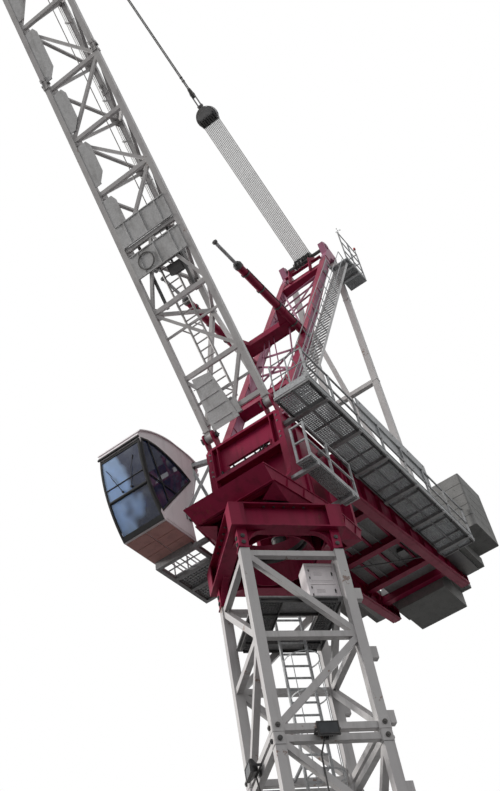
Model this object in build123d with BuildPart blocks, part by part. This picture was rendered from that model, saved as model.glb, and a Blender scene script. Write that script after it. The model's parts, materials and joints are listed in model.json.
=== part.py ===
from build123d import *
from math import cos, radians, sin
import os

os.makedirs("parts", exist_ok=True)

# Half size model of a luffing tower crane, in millimetres. The jib points along X at rest,
# the mast is turned about Z by the slewing angle, and the ground is at Z = 0.

# Mast
mast_turn = 137.8
mast_gauge = 1100
mast_chord = 110
mast_bar = 72
section_height = 2250
section_count = 4
foot_height = 250
mast_top = foot_height + section_height * section_count
end_bar = 60

# Slewing head
beam_bottom = mast_top + 271
beam_top = mast_top + 608
ring_radius = 590
ring_bottom = beam_top
ring_top = ring_bottom + 130
ring_gap = 0.3
deck_bottom = ring_top
deck_top = deck_bottom + 150
deck_front = 925
deck_rear = -1000

# Jib
jib_angle = 60.6
pivot_x = 210
pivot_z = mast_top + 2500
jib_gauge = 960
jib_depth = 958
jib_chord = 84
jib_bar = 46
heel_beam = 190
heel_nodes = [900, 1970, 3020, 4030, 5030]
joint_one = 6030
first_bay = 1220
outer_bay = 1600
outer_nodes = [joint_one + first_bay + outer_bay * bay for bay in range(3)]
joint_two = outer_nodes[-1] + outer_bay
head_nodes = [joint_two + outer_bay, joint_two + 2 * outer_bay]
jib_end = joint_two + 3 * outer_bay

# Counter jib
girder_y = 630
girder_flange = 160
girder_top = mast_top + 2230
girder_front = -1000
girder_rear = -4830
girder_low_front = mast_top + 1655
girder_low_rear = mast_top + 2045
walk_inner = 712
walk_outer = 1242
walk_level = mast_top + 2128
walk_front = 532
walk_rear = -4010
rail_height = 560

# A frame
leg_y = 490
leg_width = 152
leg_depth = 120
leg_foot_x = -70
leg_head_x = -4040
leg_head_z = mast_top + 10170
tie_y = 500
rope_head_x = -3939
rope_head_z = mast_top + 10266

mast_plane = Plane(
    origin=(0, 0, 0),
    x_dir=(cos(radians(mast_turn)), sin(radians(mast_turn)), 0),
    z_dir=(0, 0, 1),
)
jib_plane = Plane(
    origin=(pivot_x, 0, pivot_z),
    x_dir=(cos(radians(jib_angle)), 0, sin(radians(jib_angle))),
    z_dir=(-sin(radians(jib_angle)), 0, cos(radians(jib_angle))),
)
jib_flank = Plane(
    origin=(pivot_x, 0, pivot_z),
    x_dir=(cos(radians(jib_angle)), 0, sin(radians(jib_angle))),
    z_dir=(0, -1, 0),
)


def bar(start, end, width, depth, up=(0, 0, 1)):
    """A straight bar between two points, its depth lying towards up."""
    first = Vector(*start)
    last = Vector(*end)
    along = (last - first).normalized()
    side = Vector(*up).cross(along).normalized()
    seat = Plane(origin=(first + last) * 0.5, x_dir=along, z_dir=along.cross(side))
    return seat * Box((last - first).length, width, depth, mode=Mode.PRIVATE)


def save(part, name):
    """Label a finished part and write it to its file."""
    part.label = name
    export_step(part, f"parts/{name}.step")


# Base frame: feet on a square tie frame, with anchor bolt holes
with BuildPart(mast_plane) as base_frame:
    Box(1500, 1500, 30, align=(Align.CENTER, Align.CENTER, Align.MIN))
    Box(860, 860, 30, align=(Align.CENTER, Align.CENTER, Align.MIN), mode=Mode.SUBTRACT)
    with GridLocations(mast_gauge, mast_gauge, 2, 2):
        with Locations((0, 0, 30)):
            Box(
                150, 150, foot_height - 30, align=(Align.CENTER, Align.CENTER, Align.MIN)
            )
            Box(14, 300, 110, align=(Align.CENTER, Align.CENTER, Align.MIN))
            Box(300, 14, 110, align=(Align.CENTER, Align.CENTER, Align.MIN))
    with PolarLocations(0, 4):
        with Locations((690, 690, 0), (690, 520, 0), (520, 690, 0)):
            Cylinder(
                18, 30, align=(Align.CENTER, Align.CENTER, Align.MIN), mode=Mode.SUBTRACT
            )
save(base_frame.part, "base_frame")

# Mast chords
with BuildPart(mast_plane) as mast_chords:
    with Locations((0, 0, foot_height)):
        with GridLocations(mast_gauge, mast_gauge, 2, 2):
            Box(
                mast_chord,
                mast_chord,
                mast_top - foot_height,
                align=(Align.CENTER, Align.CENTER, Align.MIN),
            )
save(mast_chords.part, "mast_chords")

# Mast sides: three rails and two diagonals in every section
half = mast_gauge / 2
clear = mast_gauge - mast_chord
side_bars = []
for section in range(section_count):
    low = foot_height + section_height * section + end_bar
    high = low + section_height - 2 * end_bar
    middle = (low + high) / 2
    for level in (low, middle, high):
        side_bars.append(bar((-half, -half, level), (half, -half, level), mast_bar, mast_bar))
    side_bars.append(
        bar((-half, -half, high), (half, -half, middle), mast_bar, mast_bar, (0, 1, 0))
    )
    side_bars.append(
        bar((half, -half, middle), (-half, -half, low), mast_bar, mast_bar, (0, 1, 0))
    )
for number, name in enumerate(("front", "right", "back", "left")):
    with BuildPart(mast_plane) as mast_side:
        add([Rot(0, 0, 90 * number) * piece for piece in side_bars])
        with Locations(Rot(0, 0, 90 * number)):
            with Locations((0, -half, mast_top / 2)):
                Box(clear, 200, mast_top, mode=Mode.INTERSECT)
    save(mast_side.part, f"mast_side_{name}")

# Joint plates with their bolts on the outer faces of the chords
with BuildPart(mast_plane) as joint_plates:
    for level in range(1, section_count):
        joint = foot_height + section_height * level
        with Locations((0, 0, joint)):
            with Locations(Rot(0, 0, 0), Rot(0, 0, 180), Rot(0, 0, 270)):
                with Locations((-half, -half - mast_chord / 2 - 8, 0)):
                    Box(96, 16, 260)
                with Locations((half, -half - mast_chord / 2 - 8, 0)):
                    Box(96, 16, 260)
                for bolt in (-75, 75):
                    with Locations(
                        Location((-half, -half - mast_chord / 2 - 16, bolt), (90, 0, 0)),
                        Location((half, -half - mast_chord / 2 - 16, bolt), (90, 0, 0)),
                    ):
                        Box(44, 44, 22, align=(Align.CENTER, Align.CENTER, Align.MIN))
save(joint_plates.part, "mast_joint_plates")

# Climbing lugs up the right hand chords
with BuildPart(mast_plane) as climbing_lugs:
    lug_levels = [foot_height + 890 + section_height / 3 * step for step in range(11)]
    with Locations([(half + 55, side, level) for level in lug_levels for side in (-half, half)]):
        Box(84, 76, 140, align=(Align.MIN, Align.CENTER, Align.CENTER))
save(climbing_lugs.part, "climbing_lugs")

# Ladder inside the mast
ladder_top = mast_top - 300
with BuildPart(mast_plane) as mast_ladder:
    with Locations((-110, 140, foot_height), (190, 140, foot_height)):
        Box(22, 44, ladder_top - foot_height, align=(Align.CENTER, Align.CENTER, Align.MIN))
    with Locations([(40, 140, 400 + 150 * rung) for rung in range(int((ladder_top - 400) / 150))]):
        Box(278, 18, 18)
    for section in range(section_count):
        low = foot_height + section_height * section + end_bar
        with Locations((-110, 162, low), (190, 162, low)):
            Box(22, half - mast_bar / 2 - 162, 30, align=(Align.CENTER, Align.MIN, Align.CENTER))
save(mast_ladder.part, "mast_ladder")

# Service platform near the mast top, with the ladder's hatch cut through it
platform_level = mast_top - 600
with BuildPart(mast_plane) as mast_platform:
    with Locations((0, 0, platform_level)):
        Box(mast_gauge - mast_bar - 2, mast_gauge - mast_bar - 2, 20)
        with GridLocations(mast_gauge, mast_gauge, 2, 2):
            Box(mast_chord, mast_chord, 20, mode=Mode.SUBTRACT)
        with Locations((40, 40, 0)):
            Box(440, 520, 20, mode=Mode.SUBTRACT)
save(mast_platform.part, "mast_platform")

# Control cabinets on the platform
with BuildPart(mast_plane) as control_cabinets:
    with Locations((330, -330, platform_level + 10)):
        Box(360, 220, 500, align=(Align.CENTER, Align.CENTER, Align.MIN))
        with Locations((0, -110, 240)):
            Box(300, 14, 220, align=(Align.CENTER, Align.CENTER, Align.MIN), mode=Mode.SUBTRACT)
        with Locations((0, -110, 30)):
            Box(300, 14, 180, align=(Align.CENTER, Align.CENTER, Align.MIN), mode=Mode.SUBTRACT)
save(control_cabinets.part, "control_cabinets")

# Floodlights on brackets below the first joint
light_level = mast_top - 2290
with BuildPart(mast_plane) as floodlights:
    for place in ((-60, -650, light_level), (-650, 60, light_level)):
        with Locations(place):
            Box(170, 60, 110) if place[1] < -600 else Box(60, 170, 110)
    with Locations((-60, -603, light_level - 20)):
        Box(30, 34, 40)
    with Locations((-603, 60, light_level - 20)):
        Box(34, 30, 40)
save(floodlights.part, "floodlights")

# Fixed red head on the mast: four legs with knee plates, a square frame of I beams and
# the ring seat. The webs stand back between the end plates and the stiffeners
frame_half = 674
web_setback = 90
knee = 230
with BuildPart(mast_plane) as tower_head:
    with Locations((0, 0, mast_top)):
        with GridLocations(mast_gauge, mast_gauge, 2, 2):
            Box(
                mast_chord,
                mast_chord,
                beam_bottom - mast_top,
                align=(Align.CENTER, Align.CENTER, Align.MIN),
            )
    with Locations((0, 0, beam_bottom + 9)):
        Box(2 * frame_half, 2 * frame_half, 18)
        Box(2 * frame_half - 360, 2 * frame_half - 360, 18, mode=Mode.SUBTRACT)
    with PolarLocations(0, 4):
        with Locations((0, -frame_half + web_setback, (beam_bottom + beam_top) / 2)):
            Box(2 * frame_half - 2 * web_setback, 14, beam_top - beam_bottom)
        with Locations(
            (frame_half - 8, -frame_half + 90, (beam_bottom + beam_top) / 2),
            (-frame_half + 8, -frame_half + 90, (beam_bottom + beam_top) / 2),
        ):
            Box(14, 180, beam_top - beam_bottom)
    for side in (-1, 1):
        for first, second in ((1, 0), (0, 1)):
            knee_base = Plane(
                origin=mast_plane.from_local_coords(
                    Vector(-second * side * half, -first * side * half, beam_bottom)
                ),
                x_dir=mast_plane.x_dir if first else mast_plane.y_dir,
                z_dir=mast_plane.y_dir if first else -mast_plane.x_dir,
            )
            with BuildSketch(knee_base):
                for hand in (-1, 1):
                    with BuildLine():
                        Polyline(
                            (hand * (clear / 2 - knee), 0),
                            (hand * clear / 2, 0),
                            (hand * clear / 2, knee),
                        )
                        ThreePointArc(
                            (hand * clear / 2, knee),
                            (hand * (clear / 2 - 0.29 * knee), 0.29 * knee),
                            (hand * (clear / 2 - knee), 0),
                        )
                    make_face()
            extrude(amount=8, both=True)
    with Locations((0, 0, beam_top - 9)):
        Box(2 * frame_half, 2 * frame_half, 18)
        Cylinder(460, 18, mode=Mode.SUBTRACT)
save(tower_head.part, "tower_head")

# Slewing ring in two halves
with BuildPart() as fixed_ring:
    with Locations((0, 0, ring_bottom)):
        Cylinder(ring_radius, 64, align=(Align.CENTER, Align.CENTER, Align.MIN))
        Cylinder(470, 64, align=(Align.CENTER, Align.CENTER, Align.MIN), mode=Mode.SUBTRACT)
save(fixed_ring.part, "slewing_ring_fixed")

with BuildPart() as turning_ring:
    with Locations((0, 0, ring_bottom + 64 + ring_gap)):
        Cylinder(ring_radius - 15, 66 - ring_gap, align=(Align.CENTER, Align.CENTER, Align.MIN))
        Cylinder(
            455,
            66 - ring_gap,
            align=(Align.CENTER, Align.CENTER, Align.MIN),
            mode=Mode.SUBTRACT,
        )
save(turning_ring.part, "slewing_ring_turning")

# Slewing deck: a hollow skirt, leaning in at the front, under a flat plate
deck_outline = [
    (deck_front, 580),
    (-330, 740),
    (deck_rear, 740),
    (deck_rear, -740),
    (-330, -740),
    (deck_front, -580),
]
skirt_outline = [
    (deck_front - 190, 560),
    (-330, 700),
    (deck_rear, 700),
    (deck_rear, -700),
    (-330, -700),
    (deck_front - 190, -560),
]
with BuildPart() as slewing_deck:
    with BuildSketch(Plane.XY.offset(deck_top)):
        with BuildLine():
            Polyline(deck_outline, close=True)
        make_face()
    with BuildSketch(Plane.XY.offset(deck_bottom)):
        with BuildLine():
            Polyline(skirt_outline, close=True)
        make_face()
    loft(ruled=True)
    with Locations((-130, 0, deck_bottom)):
        Box(1660, 1040, 130, align=(Align.CENTER, Align.CENTER, Align.MIN), mode=Mode.SUBTRACT)
    with Locations((0, 0, deck_bottom)):
        Cylinder(600, 130, align=(Align.CENTER, Align.CENTER, Align.MIN))
        Cylinder(
            455, 150, align=(Align.CENTER, Align.CENTER, Align.MIN), mode=Mode.SUBTRACT
        )
save(slewing_deck.part, "slewing_deck")

# Turntable frame: side walls sweeping up from the deck to two front columns, a channel
# cross beam with a rope slot between them, a set back lower web and a rear wall
wall_top = mast_top + 2310
cross_bottom = mast_top + 1785
with BuildPart() as turntable:
    for side in (-1, 1):
        with BuildSketch(Plane.XZ.offset(-side * 560 - 15)):
            with BuildLine():
                Line((girder_front, deck_top), (620, deck_top))
                ThreePointArc((620, deck_top), (330, deck_top + 190), (200, deck_top + 620))
                Line((200, deck_top + 620), (200, wall_top))
                Line((200, wall_top), (girder_front, wall_top))
                Line((girder_front, wall_top), (girder_front, deck_top))
            make_face()
            with Locations((-470, deck_top + 480)):
                RectangleRounded(440, 620, 90, mode=Mode.SUBTRACT)
        extrude(amount=30)
        with Locations((150, side * 530, deck_top)):
            Box(100, 60, wall_top - deck_top, align=(Align.CENTER, Align.CENTER, Align.MIN))
        with Locations((410, side * 545, deck_top)):
            Box(420, 80, 16, align=(Align.CENTER, Align.CENTER, Align.MIN))
    with Locations((110, 0, cross_bottom)):
        Box(14, 1100, wall_top - cross_bottom, align=(Align.CENTER, Align.CENTER, Align.MIN))
        with Locations((-10, 0, 150)):
            Box(60, 640, 60, mode=Mode.SUBTRACT)
    with Locations((100, 0, cross_bottom), (100, 0, wall_top - 20)):
        Box(200, 1100, 20, align=(Align.CENTER, Align.CENTER, Align.MIN))
    with Locations((20, 0, deck_top)):
        Box(16, 1100, cross_bottom - deck_top, align=(Align.CENTER, Align.CENTER, Align.MIN))
    with Locations((20, 0, deck_top + 430)):
        Box(60, 520, 500, mode=Mode.SUBTRACT)
    with Locations((-60, 0, wall_top)):
        Box(320, 1150, 24, align=(Align.CENTER, Align.CENTER, Align.MAX))
    with Locations((girder_front + 30, 0, deck_top)):
        Box(60, 1420, girder_top - deck_top, align=(Align.CENTER, Align.CENTER, Align.MIN))
save(turntable.part, "turntable")

# Pivot brackets for the jib foot, with round tops, and their pins
with BuildPart() as jib_brackets:
    for side in (-1, 1):
        for lug_shift in (-70, 70):
            with BuildSketch(Plane.XZ.offset(-side * 480 - lug_shift - 10)):
                with BuildLine():
                    Polyline(
                        (pivot_x - 150, wall_top),
                        (pivot_x - 10, wall_top),
                        (pivot_x + 84, pivot_z - 16),
                        (pivot_x - 84, pivot_z + 16),
                        close=True,
                    )
                make_face()
                with Locations((pivot_x, pivot_z)):
                    Circle(86)
            extrude(amount=20)
        with Locations(Location((pivot_x, side * 480, pivot_z), (90, 0, 0))):
            Cylinder(30, 190)
        with Locations(
            Location((pivot_x, side * 480 - 84, pivot_z), (90, 0, 0)),
            Location((pivot_x, side * 480 + 84, pivot_z), (90, 0, 0)),
        ):
            Cylinder(46, 12)
save(jib_brackets.part, "jib_brackets")

# Jib chords: two below, one above, each as a box section bar
jib_half = jib_gauge / 2
apex_start = 1930
with BuildPart(jib_plane) as jib_chords:
    with Locations((jib_end / 2 + 60, jib_half, 0), (jib_end / 2 + 60, -jib_half, 0)):
        Box(jib_end - 120, jib_chord, jib_chord)
    with Locations(((jib_end + apex_start) / 2, 0, jib_depth)):
        Box(jib_end - apex_start, jib_chord, jib_chord)
    with Locations(
        Location((60, jib_half, 0), (90, 0, 0)), Location((60, -jib_half, 0), (90, 0, 0))
    ):
        Box(120, jib_chord, jib_chord)
    with Locations(
        Location((0, jib_half, 0), (90, 0, 0)), Location((0, -jib_half, 0), (90, 0, 0))
    ):
        Cylinder(62, jib_chord)
        Cylinder(31, jib_chord, mode=Mode.SUBTRACT)
save(jib_chords.part, "jib_chords")

# Jib bracing. The zigzag of the lower face changes side at every node
nodes = heel_nodes + [joint_one] + outer_nodes + [joint_two] + head_nodes + [jib_end]
lower = []
for position in [*nodes[:-1], jib_end - 30]:
    lower.append(bar((position, -jib_half, 0), (position, jib_half, 0), 60, 60))
lower.append(bar((heel_nodes[2], 0, 0), (heel_nodes[1], -jib_half, 0), jib_bar, jib_bar))
lower.append(bar((heel_nodes[2], 0, 0), (heel_nodes[1], jib_half, 0), jib_bar, jib_bar))
side = 1
for first, last in zip(nodes[2:], nodes[3:]):
    lower.append(bar((first, -side * jib_half, 0), (last, side * jib_half, 0), jib_bar, jib_bar))
    side = -side
lower.append(
    bar((heel_nodes[1], -jib_half, 0), (heel_nodes[0], jib_half, 0), jib_bar, jib_bar)
)
lower.append(bar((heel_beam, 0, 0), (heel_nodes[0], jib_half, 0), jib_bar, jib_bar))
lower.append(bar((heel_beam, 0, 0), (heel_nodes[0], -jib_half, 0), jib_bar, jib_bar))
lower.append(bar((heel_beam, -jib_half, 0), (heel_beam, jib_half, 0), 60, 60))
with BuildPart(jib_plane) as jib_lower_face:
    add(lower)
    with Locations((jib_end / 2, 0, 0)):
        Box(jib_end + 400, jib_gauge - jib_chord, 200, mode=Mode.INTERSECT)
save(jib_lower_face.part, "jib_lower_face")

apex_nodes = [apex_start + 40]
for first, last in zip(nodes[1:], nodes[2:]):
    apex_nodes.append((first + last) / 2)
chord_cutters = [
    bar((-500, -jib_half, 0), (jib_end + 500, -jib_half, 0), jib_chord, jib_chord),
    bar((-500, jib_half, 0), (jib_end + 500, jib_half, 0), jib_chord, jib_chord),
    bar((-500, 0, jib_depth), (jib_end + 500, 0, jib_depth), jib_chord, jib_chord),
]
for side, name in ((1, "left"), (-1, "right")):
    slope = []
    start = (nodes[1], side * jib_half, 0)
    slope.append(bar(start, (apex_nodes[0], 0, jib_depth), jib_bar, jib_bar, (1, 0, 0)))
    slope.append(
        bar((130, side * jib_half, 30), (apex_nodes[0], 0, jib_depth), 60, 60, (0, 1, 0))
    )
    for apex, first, last in zip(apex_nodes[1:], nodes[1:], nodes[2:]):
        top = (apex, 0, jib_depth)
        slope.append(bar((first, side * jib_half, 0), top, jib_bar, jib_bar, (0, 1, 0)))
        slope.append(bar((last, side * jib_half, 0), top, jib_bar, jib_bar, (0, 1, 0)))
    slope.append(
        bar((jib_end - 40, side * jib_half, 0), (jib_end - 40, 0, jib_depth), 60, 60, (1, 0, 0))
    )
    with BuildPart(jib_plane) as jib_side:
        add(slope)
        add(chord_cutters, mode=Mode.SUBTRACT)
        with Locations((jib_end / 2, side * (jib_half / 2 + 30), jib_depth / 2 + 31)):
            Box(jib_end + 400, jib_half + 60, jib_depth, mode=Mode.INTERSECT)
    save(jib_side.part, f"jib_{name}_face")

# Jib head: tapering cheek frame with the hook rope sheaves
with BuildPart(jib_plane) as jib_head:
    for side in (-1, 1):
        with BuildSketch(jib_flank.offset(side * 160 - 10)):
            with BuildLine():
                Polyline(
                    [
                        (jib_end, -jib_chord / 2),
                        (jib_end + 620, 60),
                        (jib_end + 700, 260),
                        (jib_end + 560, jib_depth + 160),
                        (jib_end + 240, jib_depth + 160),
                        (jib_end, jib_depth + 42),
                    ],
                    close=True,
                )
            make_face()
        extrude(amount=20)
    with Locations((jib_end + 10, 0, jib_depth / 2)):
        Box(20, 1044, jib_depth + jib_chord)
    with Locations(Location((jib_end + 520, 0, 170), (90, 0, 0))):
        Cylinder(34, 300)
    with Locations(Location((jib_end + 400, 0, jib_depth + 70), (90, 0, 0))):
        Cylinder(34, 300)
save(jib_head.part, "jib_head")

with BuildPart(jib_plane) as head_sheave:
    with Locations(Location((jib_end + 520, 0, 170), (90, 0, 0))):
        Cylinder(250, 60)
        Cylinder(34.3, 60, mode=Mode.SUBTRACT)
save(head_sheave.part, "jib_head_sheave")

# Pendants from the jib head to the floating block, and the rope falls behind them
lug = jib_plane.from_local_coords(Vector(jib_end + 400, 0, jib_depth + 70))
rope_head = Vector(rope_head_x, 0, rope_head_z)
stay = (rope_head - lug).normalized()
stay_up = (-stay.Z, 0, stay.X)
pendant_length = 10200

stay_plane = Plane(origin=lug, x_dir=stay, z_dir=stay_up)
with BuildPart(stay_plane) as pendants:
    with Locations((pendant_length / 2 + 25, 0, 0)):
        Box(pendant_length - 50, 44, 44)
    with Locations((78, 0, 0)):
        Box(245, 90, 110)
    with Locations(Location((0, 0, 0), (90, 0, 0))):
        Cylinder(34.3, 120, mode=Mode.SUBTRACT)
save(pendants.part, "pendants")

# Floating block: two pointed cheeks with the sheaves on a shaft between them
stay_length = (rope_head - lug).length
fall_places = [-175 + 50 * number for number in range(8)]
with BuildPart(stay_plane) as floating_block:
    with Locations((pendant_length + 80, 0, 0)):
        Box(160, 120, 110)
    with Locations((pendant_length + 175, 0, 0)):
        Box(30, 440, 130)
    for side in (-1, 1):
        with BuildSketch(Plane(lug, x_dir=stay, z_dir=(0, -1, 0)).offset(-side * 214 - 6)):
            with BuildLine():
                Polyline(
                    (pendant_length + 160, -65),
                    (pendant_length + 420, -95),
                    (pendant_length + 520, -55),
                    (pendant_length + 520, 55),
                    (pendant_length + 420, 95),
                    (pendant_length + 160, 65),
                    close=True,
                )
            make_face()
        extrude(amount=12)
    with Locations(Location((pendant_length + 400, 0, 0), (90, 0, 0))):
        Cylinder(30, 460)
        for place in fall_places:
            with Locations((0, 0, place)):
                Cylinder(110, 28)
save(floating_block.part, "floating_block")

# Rope falls from the floating block's sheaves to those of the A frame head
fall_start = pendant_length + 510.3
fall_end = stay_length - 71.3
with BuildPart(stay_plane) as luffing_ropes:
    with Locations([Location((fall_start, place, 0), (0, 90, 0)) for place in fall_places]):
        Cylinder(12, fall_end - fall_start, align=(Align.CENTER, Align.CENTER, Align.MIN))
save(luffing_ropes.part, "luffing_ropes")

# Hook block hanging from the jib head
hook_pivot = jib_plane.from_local_coords(Vector(jib_end + 520, 0, 170))
hook_x = hook_pivot.X + 257.3
with BuildPart() as hook_block:
    with Locations((hook_x, 0, hook_pivot.Z - 1300)):
        Box(200, 130, 420)
    with Locations((hook_x, 16, hook_pivot.Z - 540), (hook_x, -16, hook_pivot.Z - 540)):
        Box(14, 14, 1100)
    with Locations((hook_x, 0, hook_pivot.Z - 1600)):
        Box(70, 70, 180)
save(hook_block.part, "hook_block")

# Counter jib frame: two tapering I girders joined by cross beams
with BuildPart() as counter_frame:
    for side in (-1, 1):
        with BuildSketch(Plane.XZ.offset(-side * girder_y - 7)):
            with BuildLine():
                Polyline(
                    [
                        (girder_front, girder_top),
                        (girder_rear, girder_top),
                        (girder_rear, girder_low_rear),
                        (girder_front, girder_low_front),
                    ],
                    close=True,
                )
            make_face()
        extrude(amount=14)
        with BuildSketch(Plane.XZ.offset(-side * girder_y - girder_flange / 2)):
            with BuildLine():
                Polyline(
                    [
                        (girder_front, girder_low_front),
                        (girder_rear, girder_low_rear),
                        (girder_rear, girder_low_rear + 18),
                        (girder_front, girder_low_front + 18),
                    ],
                    close=True,
                )
            make_face()
        extrude(amount=girder_flange)
        with Locations(((girder_front + girder_rear) / 2, side * girder_y, girder_top - 9)):
            Box(girder_front - girder_rear, girder_flange, 18)
    for place in (-1400, -2250, -3100, -3900, -4370):
        with Locations((place, 0, girder_top - 60)):
            Box(80, 2 * girder_y, 120)
save(counter_frame.part, "counter_jib_frame")

# Machinery deck between the girders
with BuildPart() as machinery_deck:
    with Locations((-2555, 0, girder_top + 6)):
        Box(3060, 1420, 12)
    with Locations((-4260, 0, girder_top + 6)):
        Box(370, 860, 12)
save(machinery_deck.part, "machinery_deck")

with BuildPart() as luffing_winch:
    with Locations((-3000, 0, girder_top + 12)):
        Box(700, 1000, 90, align=(Align.CENTER, Align.CENTER, Align.MIN))
        with Locations((0, -400, 90), (0, 400, 90)):
            Box(500, 60, 420, align=(Align.CENTER, Align.CENTER, Align.MIN))
    with Locations(Location((-3000, 0, girder_top + 372), (90, 0, 0))):
        Cylinder(190, 740)
        with Locations((0, 0, -340), (0, 0, 340)):
            Cylinder(262, 26)
save(luffing_winch.part, "luffing_winch")

with BuildPart() as switch_cabinet:
    with Locations((-1900, -350, girder_top + 12)):
        Box(700, 420, 900, align=(Align.CENTER, Align.CENTER, Align.MIN))
save(switch_cabinet.part, "switch_cabinet")

# Counterweight: a low block between the girders, a slab on each girder, a stack on each slab
with BuildPart() as lower_ballast:
    with Locations((-4847, 0, girder_top - 267)):
        Box(775, 828, 267, align=(Align.CENTER, Align.CENTER, Align.MIN))
    with Locations((-4847, 0, girder_top)):
        Box(775, 1170, 110, align=(Align.CENTER, Align.CENTER, Align.MIN))
    with Locations((-4489, 798, girder_top), (-4489, -798, girder_top)):
        Box(782, 414, 164, align=(Align.CENTER, Align.CENTER, Align.MIN))
save(lower_ballast.part, "lower_ballast")

slab_count = 5
slab_pitch = 207
slab_joint = 8
with BuildPart() as ballast_stacks:
    with Locations((-4415, 1094, girder_top + 164), (-4415, -1094, girder_top + 164)):
        Box(
            766, 508, slab_pitch * slab_count - 4, align=(Align.CENTER, Align.CENTER, Align.MIN)
        )
    for slab in range(slab_count):
        with BuildSketch(Plane.XY.offset(girder_top + 164 + slab_pitch * slab)):
            with Locations((-4415, 1094), (-4415, -1094)):
                RectangleRounded(790, 532, 26)
        extrude(amount=slab_pitch - slab_joint)
save(ballast_stacks.part, "ballast_stacks")

# Left walkway beside the counter jib, on outriggers, with its railing
walk_middle = (walk_inner + walk_outer) / 2
with BuildPart() as walkway:
    with Locations(((walk_front + walk_rear) / 2, walk_middle, walk_level)):
        Box(
            walk_front - walk_rear,
            walk_outer - walk_inner,
            30,
            align=(Align.CENTER, Align.CENTER, Align.MIN),
        )
    for place in (-1400, -2200, -3000, -3800):
        with Locations((place, girder_y + girder_flange / 2, walk_level)):
            Box(
                60,
                walk_outer - girder_y - girder_flange / 2,
                60,
                align=(Align.CENTER, Align.MIN, Align.MAX),
            )
    for place in (100, -700):
        with Locations((place, 575, walk_level)):
            Box(60, walk_outer - 575, 60, align=(Align.CENTER, Align.MIN, Align.MAX))
save(walkway.part, "walkway")

walk_posts = [walk_front - 20 - 640 * number for number in range(8)]
with BuildPart() as walkway_railing:
    with Locations([(place, walk_outer - 15, walk_level + 30) for place in walk_posts]):
        Box(26, 26, rail_height, align=(Align.CENTER, Align.CENTER, Align.MIN))
    for height in (rail_height - 13, rail_height / 2, 50):
        with Locations(
            ((walk_posts[0] + walk_posts[-1]) / 2, walk_outer - 15, walk_level + 30 + height)
        ):
            Box(walk_posts[0] - walk_posts[-1], 22, 22)
    with Locations((-1945, walk_outer - 36, walk_level + 597)):
        Box(1970, 16, 430)
save(walkway_railing.part, "walkway_railing")

# Small platform hung beside the turntable
side_level = mast_top + 1100
with BuildPart() as side_platform:
    with Locations((-143, 855, side_level)):
        Box(1114, 210, 20)
    with Locations((250, 575, side_level - 10), (-540, 575, side_level - 10)):
        Box(50, 385, 50, align=(Align.CENTER, Align.MIN, Align.MAX))
    for place in (394, -120, -680):
        with Locations((place, 945, side_level + 10)):
            Box(26, 26, rail_height, align=(Align.CENTER, Align.CENTER, Align.MIN))
    for height in (rail_height - 13, rail_height / 2):
        with Locations((-143, 945, side_level + 10 + height)):
            Box(1100, 22, 22)
        with Locations((394, 855, side_level + 10 + height)):
            Box(22, 190, 22)
    with Locations((394, 765, side_level + 10)):
        Box(26, 26, rail_height, align=(Align.CENTER, Align.CENTER, Align.MIN))
save(side_platform.part, "side_platform")

# A frame: two raked legs with shaped head plates
leg_foot_z = wall_top - 160
with BuildPart() as a_frame_legs:
    for side in (-1, 1):
        add(
            bar(
                (leg_foot_x + 80, side * leg_y, leg_foot_z),
                (leg_head_x, side * leg_y, leg_head_z),
                leg_width,
                leg_depth,
                (0, 1, 0),
            )
        )
        with BuildSketch(Plane.XZ.offset(-side * leg_y - leg_depth / 2)):
            with BuildLine():
                Polyline(
                    (leg_head_x + 150, leg_head_z - 320),
                    (leg_head_x + 250, leg_head_z + 90),
                    (leg_head_x + 60, leg_head_z + 150),
                    (leg_head_x - 240, leg_head_z + 10),
                    (leg_head_x - 240, leg_head_z - 180),
                    close=True,
                )
            make_face()
            with Locations((rope_head_x, rope_head_z - 40)):
                Circle(110)
        extrude(amount=leg_depth)
    with Locations((-2000, 0, wall_top)):
        Box(6000, 2000, 9000, align=(Align.CENTER, Align.CENTER, Align.MIN), mode=Mode.INTERSECT)
save(a_frame_legs.part, "a_frame_legs")

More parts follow.
